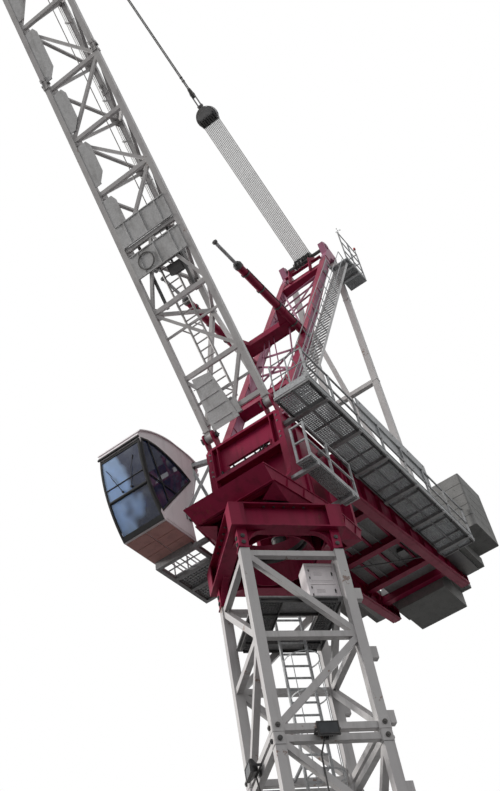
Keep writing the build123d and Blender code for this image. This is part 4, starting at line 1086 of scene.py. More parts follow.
class CRANE_OT_turntable(bpy.types.Operator):
    """Makes the turntable's flanges, bolts, fixed cables and pins"""

    bl_idname = "crane.turntable"
    bl_label = "Turntable"

    def execute(self, context):
        self.add_flanges()
        self.add_cables()
        self.add_pins()
        bars = Shape(place=raised(SIDE_LEVEL))
        bars.grating((-0.66, 0.765, -0.01), (0.38, 0.945))
        bars.box((-0.143, 0.957, 0.035), (1.11, 0.004, 0.05))
        bars.finish("side_platform_bars", "zinc")
        return {"FINISHED"}

    def add_flanges(self):
        """Flanges on the curved sides, round their windows and on the cross walls."""
        trim, bolts = Shape(), Shape()
        foot, middle = DECK_TOP + 0.004, (DECK_TOP + WALL_TOP) / 2
        cross = (CROSS_BOTTOM + WALL_TOP) / 2
        corners = ((-0.34, 0.70, 0), (-0.60, 0.70, 90), (-0.60, 0.26, 180), (-0.34, 0.26, 270))
        window = [
            (x + 0.087 * c, DECK_TOP + z + 0.087 * s)
            for x, z, first in corners
            for c, s in compass(5, first, 22.5)
        ]
        for side in SIDES:
            y = side * 0.560
            bend = (0.332, y, DECK_TOP + 0.192), (0.202, y, DECK_TOP + 0.62)
            sweep = [(0.620, y, foot), *arc((0.60, y, foot), *bend, 12)]
            trim.ribbon([*sweep, (0.202, y, WALL_TOP - 0.03)], Y, 0.062, 0.010)
            trim.strip(window, y, 0.056, 0.010, closed=True)
            for x, y, z, size in (
                (-0.90, 0.590, middle, (0.012, 0.030, WALL_TOP - DECK_TOP - 0.02)),
                (-0.12, 0.590, middle, (0.012, 0.030, WALL_TOP - DECK_TOP - 0.02)),
                (-0.45, 0.585, WALL_TOP - 0.008, (1.05, 0.05, 0.014)),
                (0.155, 0.42, cross, (0.085, 0.010, WALL_TOP - CROSS_BOTTOM - 0.04)),
                (0.121, 0.335, CROSS_BOTTOM + 0.15, (0.012, 0.014, 0.09)),
                (0.02, 0.265, DECK_TOP + 0.43, (0.04, 0.012, 0.50)),
            ):
                trim.box((x, side * y, z), size)
            for k in range(7):
                bolts.bolt((0.25 + 0.055 * k, side * 0.563, DECK_TOP + 0.016), Z, 0.024, 0.016)
            for rise in (0.06, 0.14, 0.34, 0.44):
                bolts.bolt((0.2, side * 0.535, CROSS_BOTTOM + rise), X, 0.026, 0.014)
        for x, z, size in (
            (0.121, CROSS_BOTTOM + 0.112, (0.012, 0.70, 0.014)),
            (0.121, CROSS_BOTTOM + 0.188, (0.012, 0.70, 0.014)),
            (0.0, DECK_TOP + 0.70, (0.03, 0.56, 0.012)),
            (0.19, CROSS_BOTTOM - 0.012, (0.018, 1.06, 0.05)),
            (0.19, WALL_TOP + 0.004, (0.018, 1.06, 0.03)),
        ):
            trim.box((x, 0, z), size)
        trim.finish("turntable_flanges", "works", edge=0.001)
        bolts.finish("turntable_bolts", "bolt", "dark_steel")

    def add_cables(self):
        """Fixed cables along the cross wall and up through the deck, with their clamps."""
        cables = Shape()
        for k in range(5):
            x, z = 0.132 + 0.024 * (k % 3), CROSS_BOTTOM + 0.034 + 0.022 * (k // 3)
            y = 0.24 - 0.03 * k
            turn = (x - 0.006, y + 0.05, z + 0.03), (x - 0.02, y + 0.07, z + 0.10)
            cables.tube(
                [(x, -0.47, z), *arc((x, y, z), *turn, 6), (0.03, y + 0.075, z + 0.135)], 0.010
            )
        for y in (-0.40, -0.22, -0.04, 0.12):
            cables.box((0.155, y, CROSS_BOTTOM + 0.05), (0.080, 0.018, 0.056))
        for k in range(4):
            y = -0.12 + 0.024 * k
            cables.tube([(0.034, y, DECK_TOP + 0.002), (0.034, y, DECK_TOP + 0.17)], 0.010)
        cables.finish("turntable_cables", "rubber")

    def add_pins(self):
        """Ends of the jib's pivot pins, each held by a bolted bar."""
        pins = Shape(place=JIB_FOOT)
        for side, (face, way) in product(SIDES, ((0.594, 1), (0.370, -1))):
            y, out = side * face, side * way
            pins.disc((0, y, 0), Y, 0.036, 0.026, 20)
            pins.box((0, y + out * 0.008, 0.030), (0.085, 0.010, 0.022))
            for x in (-0.032, 0.032):
                pins.bolt((x, y + out * 0.012, 0.030), (0, out, 0), 0.016, 0.010)
        pins.finish("jib_foot_pins", "dark")


class CRANE_OT_cab(bpy.types.Operator):
    """Makes the cab's window frames, rims, door, wipers, lamps, floor panels and controls"""

    bl_idname = "crane.cab"
    bl_label = "Cab"

    def execute(self, context):
        outline = arc((1.017, 0, 0), (1.264, 0, 0.457), (1.364, 0, 1.095), 20)
        front = [(point.x, point.z) for point in outline]
        self.frame_windows(front)
        self.cover_sides()
        self.add_trim(front)
        self.line_inside()
        self.add_controls()
        self.add_seat()
        return {"FINISHED"}

    def front_at(self, front, z):
        """Where the front's outline stands at a height."""
        for (x0, z0), (x1, z1) in pairwise(front):
            if z0 <= z <= z1:
                return x0 + (x1 - x0) * (z - z0) / (z1 - z0)
        raise ValueError("height outside the cab front")

    def on_post(self, front, corner):
        """Whether a corner of the shell belongs to the posts and the bar of the front window."""
        z = corner.z - CAB_FLOOR
        return 0.02 < z < 1.11 and corner.x > self.front_at(front, min(z, 1.09)) - 0.064

    def frame_windows(self, front):
        """Dark frames round the side and front windows and dark posts between them."""
        window = [
            (1.034, 0.128), (0.868, 0.356), (0.613, 0.690), (0.358, 1.025), (0.54, 1.105),
            (0.745, 1.160), (0.90, 1.183), (1.041, 1.190), (1.19, 1.170), (1.322, 1.125),
            (1.316, 0.98), (1.302, 0.828), (1.275, 0.64), (1.236, 0.467), (1.15, 0.28),
        ]
        frames = Shape(place=CAB)
        for side in SIDES:
            y = side * CAB_HALF
            frames.strip(window, y, 0.012, 0.030, closed=True)
            frames.strip([(0.888, 0.356), (1.19, 1.165)], y, 0.010, 0.018)
            frames.strip([(0.70, 0.59), (1.262, 0.59)], y, 0.010, 0.014)
            frames.strip(front, side * (CAB_HALF - 0.014), 0.026, 0.014)
        for z, tall in ((0.455, 0.030), (1.060, 0.030), (0.62, 0.012)):
            x = self.front_at(front, z) - 0.002
            frames.box((x, 0, z), (0.016, 2 * CAB_HALF - 0.03, tall))
        frames.box((1.388, 0, 1.112), (0.020, 2 * CAB_HALF + 0.03, 0.022))
        sill = [(x + 0.003, z) for x, z in front if z < 0.09]
        frames.strip(sill, 0, 2 * CAB_HALF - 0.01, 0.008)
        frames.finish("cab_window_frames", "rubber", edge=0.001)

        shell = nodes["cab_shell"].data
        shell.materials.append(FINISHES["rubber"])
        for face in shell.polygons:
            corners = [shell.vertices[index].co for index in face.vertices]
            if all(self.on_post(front, corner) for corner in corners):
                face.material_index = 1

    def cover_sides(self):
        """Panels of the floor, the lower sides and the rear."""
        panels, skin = Shape(place=CAB), Shape(place=CAB)
        for k, y in product(range(3), (-0.155, 0.155)):
            panels.box((0.518 + 0.188 * k, y, -0.005), (0.182, 0.300, 0.010))
        panels.finish("cab_floor_panels", "floor_board", edge=0.002)
        low = [(0.425, 0.03), (0.985, 0.03), (1.005, 0.10), (0.85, 0.315), (0.640, 0.600)]
        for side in SIDES:
            skin.plate([*low, (0.480, 0.600)], side * CAB_HALF, side * 0.005)
            seam = [(0.345, 0.80), (0.245, 1.12), (0.175, 1.36)]
            skin.strip(seam, side * CAB_HALF, 0.010, 0.020)
        skin.strip([(0.394, 0.02), (0.453, 0.53), (0.304, 0.81), (0.203, 1.13)], 0, 0.46, 0.010)
        skin.finish("cab_side_panels", "cab", edge=0.002)

    def add_trim(self, front):
        """Door handle, hinges, wipers, grab rails and roof lamps."""
        trim, lamps, glass = Shape(place=CAB), Shape(place=CAB), Shape(place=CAB)
        trim.tube([(0.36, -0.17, 0.15), (0.355, -0.17, 0.45)], 0.007)
        trim.box((0.385, 0.17, 0.40), (0.03, 0.05, 0.03))
        for x, z in ((0.40, 0.12), (0.44, 0.46), (0.25, 0.95)):
            trim.tube([(x, 0.235, z - 0.03), (x, 0.235, z + 0.03)], 0.009)
        x0, x1 = self.front_at(front, 0.50) + 0.010, self.front_at(front, 0.80) + 0.012
        for y, lean in ((-0.06, -0.16), (0.08, 0.10)):
            trim.disc((x0, y, 0.50), X, 0.014, 0.020, 10)
            trim.tube([(x0, y, 0.50), (x1, y + lean * 0.7, 0.76)], 0.004, 6)
            blade = (x0 + 0.02, y + lean * 0.2, 0.64), (x1 + 0.004, y + lean * 1.1, 0.90)
            trim.bar(*blade, 0.010, 0.006)
        beam = (0.85, 0, -0.52)
        shade = [(0.002, -0.03), (0.022, -0.03), (0.034, 0.0), (0.036, 0.022), (0.030, 0.022)]
        for side in SIDES:
            y = side * (CAB_HALF + 0.012)
            trim.tube([(0.56, y, 0.26), (0.56, y, 0.44)], 0.006)
            y = side * 0.22
            lamps.lathe((1.30, y, 1.225), beam, [*shade, (0.002, 0.016)], 16)
            lamps.tube([(1.29, y, 1.235), (1.275, y, 1.262)], 0.007, 6)
            glass.disc((1.319, y, 1.2132), beam, 0.029, 0.004)
        trim.finish("cab_wipers_and_handles", "rubber")
        lamps.finish("cab_lamps", "dark")
        glass.finish("cab_lamp_glass", "lens")

    def line_inside(self):
        """A dark lining on the floor, the rear, the roof and the lower sides."""
        lining = Shape(place=CAB)
        inside = [
            (0.98, 0.038), (0.44, 0.038), (0.50, 0.54), (0.352, 0.82), (0.25, 1.14), (0.18, 1.36),
            (0.22, 1.40), (0.60, 1.42), (0.95, 1.38), (1.28, 1.20),
        ]
        lining.strip(inside, 0, 2 * CAB_HALF - 0.066, 0.008)
        low = [(0.45, 0.04), (0.97, 0.04), (1.005, 0.12), (0.855, 0.335), (0.60, 0.68)]
        for side in SIDES:
            y = side * (CAB_HALF - 0.033)
            lining.plate([*low, (0.42, 0.68), (0.51, 0.53)], y, 0.003)
        lining.finish("cab_lining", "lining")

    def add_controls(self):
        """Side consoles with levers and buttons, a screen, pedals and a foot rail."""
        pods = Shape(place=CAB)
        lever = [(0.002, 0), (0.020, 0), (0.010, 0.03), (0.007, 0.07), (0.014, 0.085)]
        lever += [(0.017, 0.105), (0.010, 0.125), (0.002, 0.128)]
        for side in SIDES:
            y = side * 0.175
            pods.box((0.74, y, 0.288), (0.20, 0.075, 0.020))
            pods.lathe((0.80, y, 0.298), Z, lever, 12)
            for k in range(4):
                pods.disc((0.68 + 0.022 * k, y, 0.301), Z, 0.006, 0.008, 8)
            pods.bar((0.98, side * 0.05, 0.05), (1.05, side * 0.05, 0.11), 0.05, 0.012)
        pods.box((1.10, 0.20, 0.62), (0.018, 0.16, 0.12))
        pods.tube([(1.10, 0.20, 0.56), (1.12, 0.22, 0.30), (1.02, 0.24, 0.06)], 0.009)
        rest = [(1.16, -0.27, 0.52), (1.20, -0.2, 0.53), (1.20, 0.2, 0.53), (1.16, 0.27, 0.52)]
        pods.tube(rest, 0.008)
        pods.finish("cab_controls", "rubber", edge=0.002)

    def add_seat(self):
        """The seat's pads, back bar, pedestal and arm rests."""
        seat = Shape(place=CAB)
        self.cushion(seat, (0.69, 0, 0.222), (0.26, 0.27, 0.075), False)
        self.cushion(seat, (0.578, 0, 0.43), (0.066, 0.26, 0.30), True)
        self.cushion(seat, (0.568, 0, 0.645), (0.050, 0.15, 0.09), True)
        seat.bar((0.60, 0, 0.20), (0.565, 0, 0.66), 0.05, 0.012)
        pedestal = [(0.002, 0.03), (0.09, 0.03), (0.09, 0.042), (0.045, 0.05), (0.045, 0.16)]
        seat.lathe((0.68, 0, 0), Z, [*pedestal, (0.10, 0.17), (0.10, 0.182), (0.002, 0.182)])
        for side in SIDES:
            y = side * 0.175
            seat.tube([(0.60, side * 0.14, 0.20), (0.60, y, 0.20), (0.64, y, 0.275)], 0.010)
        seat.finish("cab_seat_shell", "seat", smooth=True, replaces=["cab_seat"])

    def cushion(self, shape, centre, size, upright):
        """A moulded pad whose edges are rounded and whose face is crowned."""
        cx, cy, cz = centre
        dx, dy, dz = (value / 2 for value in size)
        rings = []
        for t in (-1 + k / 4 for k in range(9)):
            reach = (1 - abs(t) ** 3.2) ** 0.5 if abs(t) < 1 else 0.16
            ring = []
            for c, s in compass(16):
                u = math.copysign(abs(c) ** 0.45, c) * (0.72 + 0.28 * reach) * reach
                v = math.copysign(abs(s) ** 0.45, s) * (0.80 + 0.20 * reach)
                x, z = (u, t) if upright else (t, u)
                ring.append((cx + x * dx, cy + v * dy, cz + z * dz))
            rings.append(shape.ring(ring))
        shape.join(rings)


class CRANE_OT_cab_platform(bpy.types.Operator):
    """Makes the grating bars, pins and edge rails of the platform behind the cab"""

    bl_idname = "crane.cab_platform"
    bl_label = "Cab platform"

    def execute(self, context):
        level = CAB_FLOOR - 0.059
        bars = Shape()
        for low, high, pitch in (
            (-0.50, -0.225, 0.045), (-0.175, 0.095, 0.045), (0.145, 0.42, 0.135),
        ):
            bars.grating((low, -1.352, level - 0.006), (high, -0.82), pitch, 0.006, 0.018)
        bars.finish("cab_platform_grating", "zinc")
        rails = Shape()
        rails.rail((-0.53, -1.385, level), (0.40, -1.385, level), (0, 0, 0.52), 0.010, 0.31)
        rails.rail((-0.53, -1.385, level), (-0.53, -0.80, level), (0, 0, 0.52), 0.010, 0.29)
        rails.box((-0.04, -1.401, level + 0.03), (1.01, 0.004, 0.06))
        rails.finish("cab_platform_rails", "zinc")
        pins = Shape()
        for x, y, z in (
            (0.165, -0.585, 11.44), (0.165, -0.585, 10.40), (0.235, -0.79, 11.44),
            (0.50, -0.79, 10.40),
        ):
            for rise, radius, tall in (
                (0, 0.016, 0.085), (0.044, 0.024, 0.008), (-0.044, 0.024, 0.008),
            ):
                pins.disc((x, y, z + rise), Z, radius, tall, 10)
        pins.finish("cab_support_pins", "dark")
        return {"FINISHED"}


def girder_low(x):
    """The height of the counter jib girder's lower edge."""
    part = (GIRDER_FRONT - x) / (GIRDER_FRONT - GIRDER_REAR)
    return GIRDER_LOW_FRONT + part * (GIRDER_LOW_REAR - GIRDER_LOW_FRONT)


class CRANE_OT_counter_jib(bpy.types.Operator):
    """Makes the girders' stiffeners, the deck's ribs, rods and edge trim"""

    bl_idname = "crane.counter_jib"
    bl_label = "Counter jib"

    def execute(self, context):
        self.stiffen_girders()
        self.hang_rods()
        self.trim_deck()
        return {"FINISHED"}

    def stiffen_girders(self):
        """Ribs, flanges and end plates of the girders, and the deck's ribs and knees."""
        plates = Shape()
        for k in range(9):
            x = -1.22 - 0.43 * k
            low, high = girder_low(x) + 0.018, GIRDER_TOP - 0.018
            for side, y in product(SIDES, (0.6625, 0.5925)):
                plates.box((x, side * y, (low + high) / 2), (0.008, 0.058, high - low))
        ends = [(x, girder_low(x) - 0.004) for x in (GIRDER_FRONT, GIRDER_REAR)]
        for y in (-GIRDER_Y, GIRDER_Y):
            plates.strip(ends, y, 0.10, 0.008)
            for x, low, thick, wide, less in (
                (-1.012, GIRDER_LOW_FRONT, 0.020, 0.20, 0.02),
                (-4.822, GIRDER_LOW_REAR, 0.014, 0.15, 0.04),
            ):
                size = (thick, wide, GIRDER_TOP - low - less)
                plates.box((x, y, (low + GIRDER_TOP) / 2), size)
        beams = (-1.0, -1.4, -2.25, -3.1, -3.9)
        for first, last in pairwise(beams):
            for y in (-0.34, 0.0, 0.34):
                plates.box(
                    ((first + last) / 2, y, GIRDER_TOP - 0.022), (first - last - 0.09, 0.036, 0.040)
                )
        for x in (-1.4, -2.25, -3.1, -3.9, -4.37):
            plates.box((x, 0, GIRDER_TOP - 0.124), (0.116, 1.17, 0.008))
            for side in SIDES:
                knee = ((0.56, 0.12), (0.616, 0.12), (0.616, 0.24))
                ring = [(x - 0.05, side * y, GIRDER_TOP - drop) for y, drop in knee]
                plates.prism(ring, (0.01, 0, 0))
        plates.finish("counter_jib_plates", "works", edge=0.001)

    def hang_rods(self):
        """Crossed rods, pipes and boxes under the deck."""
        rods = Shape()
        level = GIRDER_TOP - 0.09
        for first, last, y in ((-1.45, -2.2, 0.58), (-3.15, -3.85, -0.58)):
            rods.tube([(first, y, level), (last, -y, level)], 0.012)
        for y in (-0.20, 0.16):
            rods.tube([(-1.05, y, GIRDER_TOP - 0.060), (-3.85, y, GIRDER_TOP - 0.060)], 0.011)
        for x, y in ((-1.8, 0.2), (-2.7, -0.25), (-3.5, 0.28)):
            rods.box((x, y, GIRDER_TOP - 0.045), (0.16, 0.12, 0.07))
            rods.disc((x + 0.09, y, GIRDER_TOP - 0.055), X, 0.012, 0.03, 8)
        rods.finish("counter_jib_rods", "dark")

    def trim_deck(self):
        """Toe boards, edge strips, a handrail and treads of the machinery deck."""
        deck = Shape()
        for side in SIDES:
            deck.box((-2.555, side * 0.705, GIRDER_TOP + 0.045), (3.05, 0.004, 0.07))
        for y in (0.67, -0.67):
            deck.box((-2.555, y, GIRDER_TOP + 0.016), (3.05, 0.05, 0.005))
        start, end = (-1.05, -0.69, DECK_PLATE), (-3.90, -0.69, DECK_PLATE)
        deck.rail(start, end, (0, 0, 0.55), 0.011, 0.71)
        deck.finish("machinery_deck_rail", "zinc")

        tread = Shape()
        for x in (-1.1 - 0.148 * k for k in range(20)):
            if not -3.36 < x < -2.64:
                tread.box((x, 0.52, GIRDER_TOP + 0.0145), (0.006, 0.30, 0.005))
        tread.finish("machinery_deck_treads", "zinc")


class CRANE_OT_walkway(bpy.types.Operator):
    """Makes the walkway's bearers, grating bars, toe board and fixed conduit"""

    bl_idname = "crane.walkway"
    bl_label = "Walkway"

    def execute(self, context):
        self.lay_bars(WALK_LEVEL)
        self.fix_conduits(WALK_LEVEL)
        self.clip_posts(WALK_LEVEL)
        return {"FINISHED"}

    def lay_bars(self, low):
        """Grating, bearers, toe boards and the rail at the front end."""
        top = low + 0.030
        length = WALK_FRONT - WALK_REAR
        centre = (WALK_FRONT + WALK_REAR) / 2
        mesh = Shape()
        mesh.grating((WALK_REAR, 0.712, top), (WALK_FRONT, 1.242), 0.034, 0.005, 0.026)
        mesh.finish("walkway_grating", "zinc", replaces=["walkway"])

        frame = Shape()
        for y in (0.720, 0.977, 1.234):
            frame.box((centre, y, low), (length, 0.016, 0.060))
        count = 11
        for k in range(count + 1):
            x = WALK_REAR + 0.012 + (length - 0.024) * k / count
            frame.box((x, 0.977, low - 0.012), (0.016, 0.52, 0.036))
        for x in (-1.4, -2.2, -3.0, -3.8):
            frame.box((x, 0.976, low - 0.030), (0.060, 0.532, 0.060))
        for x in (0.1, -0.7):
            frame.box((x, 0.9085, low - 0.030), (0.060, 0.667, 0.060))
        frame.finish("walkway_bearers", "bearer", edge=0.002)

        bars = Shape()
        bars.box((centre, 1.236, low + 0.070), (length - 0.02, 0.004, 0.075))
        bars.box((WALK_FRONT - 0.004, 0.977, low + 0.070), (0.004, 0.50, 0.075))
        start, end = ((WALK_FRONT - 0.015, y, top) for y in (1.227, 0.74))
        bars.rail(start, end, (0, 0, 0.56), 0.010, 0.24)
        bars.finish("walkway_edges", "zinc")

    def fix_conduits(self, low):
        """Two conduits under the walkway and their clamps."""
        conduit = Shape()
        start = WALK_FRONT - 0.06
        for end, y, z, radius, sides in (
            (WALK_REAR + 0.05, 1.218, low - 0.046, 0.013, 10),
            (WALK_REAR + 0.40, 0.745, low - 0.042, 0.009, 8),
        ):
            conduit.tube([(start, y, z), (end, y, z)], radius, sides)
        for k in range(9):
            x = WALK_FRONT - 0.3 - 0.5 * k
            conduit.box((x, 1.218, low - 0.044), (0.022, 0.036, 0.036))
        conduit.finish("walkway_conduit", "rubber")

    def clip_posts(self, low):
        """Clips, sleeves and bolts of the railing's posts and of the bearers."""
        clips = Shape()
        for number in range(8):
            x = WALK_FRONT - 0.02 - 0.64 * number
            clips.box((x, 1.222, low + 0.035), (0.06, 0.032, 0.010))
            for reach in (-0.02, 0.02):
                clips.bolt((x + reach, 1.222, low + 0.040), Z, 0.012, 0.008)
            for rise in (0.28, 0.547):
                clips.disc((x, 1.227, low + 0.03 + rise), X, 0.017, 0.034, 10)
        for x in (-2.85, -2.40, -1.95, -1.50, -1.05):
            for rise in (0.42, 0.76):
                clips.bolt((x, 1.214, low + rise), Y, 0.014, 0.008)
                clips.bolt((x, 1.198, low + rise), (0, -1, 0), 0.014, 0.008)
        for x in (-1.4, -2.2, -3.0, -3.8):
            clips.box((x, 0.728, low - 0.035), (0.10, 0.012, 0.09))
            for reach in (-0.035, 0.035):
                clips.bolt((x + reach, 0.735, low - 0.055), Y, 0.014, 0.008)
        clips.finish("walkway_clips", "bolt")


class CRANE_OT_machinery(bpy.types.Operator):
    """Makes the luffing winch's rope, gearbox and motor and the switch cabinet's doors"""

    bl_idname = "crane.machinery"
    bl_label = "Machinery"

    def execute(self, context):
        self.fit_winch(DECK_PLATE)
        self.fit_motor(DECK_PLATE)
        self.hang_doors(DECK_PLATE)
        return {"FINISHED"}

    def fit_winch(self, base):
        """Rope, bearings, spokes, saddles and gearbox of the luffing winch."""
        centre = Vector((-3.0, 0, base + 0.36))
        rope = Shape()
        rope.coil(centre, 0.190, 0.011, 0.62)
        rope.finish("luffing_winch_rope", "rope")

        parts = Shape()
        for side in SIDES:
            y = side * 0.355
            parts.spokes(centre + Vector((0, y, 0)), 0.06, 0.24, 8, 0.010, 0.020)
            parts.collar(centre + Vector((0, side * 0.445, 0)), Y, 0.02, 0.085, 0.03)
            for x, y in product((-3.31, -2.69), (0.36, 0.44)):
                parts.bolt((x, side * y, base + 0.09), Z, 0.024, 0.016)
            saddle = ((-3.25, 0.09), (-2.75, 0.09), (-2.86, 0.20), (-3.14, 0.20))
            parts.plate([(x, base + rise) for x, rise in saddle], side * 0.37 - 0.006, 0.012)
        for spot, radius, sides in (
            (centre + Vector((0, 0.53, 0)), 0.15, 28),
            ((-2.76, 0.53, base + 0.25), 0.10, 24),
        ):
            half = [(radius + 0.015, 0.03), (radius, 0.05), (0.002, 0.05)]
            parts.lathe(spot, Y, both_ways(half[::-1]), sides)
        casing = ((-3.02, 0.20), (-2.74, 0.145), (-2.72, 0.35), (-2.98, 0.52))
        parts.plate([(x, base + rise) for x, rise in casing], 0.485, 0.09)
        parts.box((-2.88, 0.53, base + 0.10), (0.46, 0.12, 0.05))
        parts.bolts((-3.0, 0.582, base + 0.36), Y, 0.135, 10, 0.018, 0.010)
        parts.finish("luffing_winch_gearbox", "dark", edge=0.002)

    def fit_motor(self, base):
        """The luffing winch's ribbed motor on its feet."""
        motor = Shape()
        spot = Vector((-2.60, 0.12, base + 0.25))
        rib = ((0.088, 0), (0.088, -0.010), (0.100, -0.010), (0.100, -0.016))
        profile = [(0.002, 0.36), (0.060, 0.36), (0.060, 0.30), (0.094, 0.295)]
        profile += fins(0.28, -0.024, 11, *rib)
        profile += [(0.094, 0.0), (0.098, -0.01), (0.098, -0.09), (0.07, -0.11), (0.002, -0.11)]
        motor.lathe(spot, Y, profile, 24)
        motor.box((spot.x, spot.y + 0.15, spot.z + 0.12), (0.10, 0.14, 0.06))
        for y in (0.02, 0.28):
            motor.box((spot.x, spot.y + y, base + 0.075), (0.20, 0.03, 0.15))
        motor.box((spot.x, spot.y + 0.15, base + 0.01), (0.26, 0.36, 0.02))
        motor.finish("luffing_winch_motor", "cabinet", edge=0.001)

    def hang_doors(self, base):
        """Doors, louvres, hinges, latches, roof and lifting eyes of the switch cabinet."""
        doors, trim = Shape(), Shape()
        for (side, y), (x, hand) in product(((1, -0.14), (-1, -0.56)), ((-2.075, 1), (-1.725, -1))):
            doors.box((x, y + side * 0.005, base + 0.46), (0.325, 0.012, 0.80))
            doors.box((x, y + side * 0.013, base + 0.46), (0.26, 0.006, 0.72))
            for k in range(7):
                trim.box((x, y + side * 0.018, base + 0.16 + 0.016 * k), (0.16, 0.006, 0.006))
            hinge = (x - hand * 0.165, y + side * 0.014)
            for z in (base + 0.14, base + 0.46, base + 0.78):
                trim.tube([(*hinge, z - 0.025), (*hinge, z + 0.025)], 0.008)
            trim.box((x + hand * 0.13, y + side * 0.020, base + 0.50), (0.018, 0.014, 0.11))
        doors.box((-1.9, -0.35, base + 0.906), (0.76, 0.48, 0.016))
        gable = ((-0.59, 0.914), (-0.11, 0.914), (-0.35, 0.945))
        doors.prism([(-2.28, y, base + rise) for y, rise in gable], (0.76, 0, 0))
        doors.box((-1.9, -0.35, base + 0.025), (0.72, 0.44, 0.05))
        for x, y in product((-2.2, -1.6), (-0.52, -0.18)):
            ends = (x - 0.02, y, base + 0.914), (x + 0.02, y, base + 0.914)
            trim.tube(arc(ends[0], (x, y, base + 0.96), ends[1], 7), 0.005, 6)
        for k in range(5):
            trim.disc((-1.545, -0.45 + 0.05 * k, base + 0.12), X, 0.014, 0.03, 10)
        doors.finish("switch_cabinet_doors", "cabinet", "cab_paint", edge=0.002)
        trim.finish("switch_cabinet_trim", "rubber")


class CRANE_OT_ballast(bpy.types.Operator):
    """Makes the ballast's lifting eyes, edge angles and holding bars"""

    bl_idname = "crane.ballast"
    bl_label = "Ballast"

    def execute(self, context):
        seat, slab = GIRDER_TOP + 0.164, 0.207
        top = seat + 5 * slab - 0.008
        steel = Shape()
        for side in SIDES:
            for x in (-4.62, -4.21):
                y = side * 1.094
                near, far = y - 0.035, y + 0.035
                crest = (x, y - 0.034, top + 0.04), (x, y, top + 0.07), (x, y + 0.034, top + 0.04)
                eye = [(x, near, top - 0.01), (x, near, top + 0.035), *arc(*crest, 7)]
                steel.tube([*eye, (x, far, top + 0.035), (x, far, top - 0.01)], 0.008)
                steel.box((x, y, top + 0.003), (0.09, 0.11, 0.006))
            for x in (-4.66, -4.17):
                steel.box((x, side * 0.832, seat + 0.52), (0.05, 0.010, 1.02))
            steel.box((-4.489, side * 0.798, GIRDER_TOP - 0.016), (0.70, 0.24, 0.030))
        low, high = GIRDER_TOP + 0.11, GIRDER_TOP + 0.165
        for x, y in product((-5.14, -4.55), (-0.52, 0.52)):
            steel.tube(arc((x, y - 0.03, low), (x, y, high), (x, y + 0.03, low), 9), 0.008)
        steel.finish("ballast_steel", "dark")

        edges = Shape()
        for drop, x in product((0.262, 0.005), (-5.2325, -4.4615)):
            edges.box((x, 0, GIRDER_TOP - drop), (0.006, 0.79, 0.010))
        for y in (-0.30, 0.0, 0.30):
            edges.box((-5.236, y, GIRDER_TOP - 0.133), (0.006, 0.012, 0.25))
        edges.finish("ballast_edges", "concrete")
        return {"FINISHED"}


LEG_FOOT = Vector((0.01, 0, WALL_TOP - 0.16))
LEG_WAY = (Vector((-4.04, 0, 19.42)) - LEG_FOOT).normalized()
LEG_OUT = Vector((LEG_WAY.z, 0, -LEG_WAY.x))


def on_leg(along, y, off=0.0):
    """A point on the A-frame's slope, by its way up from the legs' feet."""
    return LEG_FOOT + LEG_WAY * along + Vector((0, y, 0)) + LEG_OUT * off


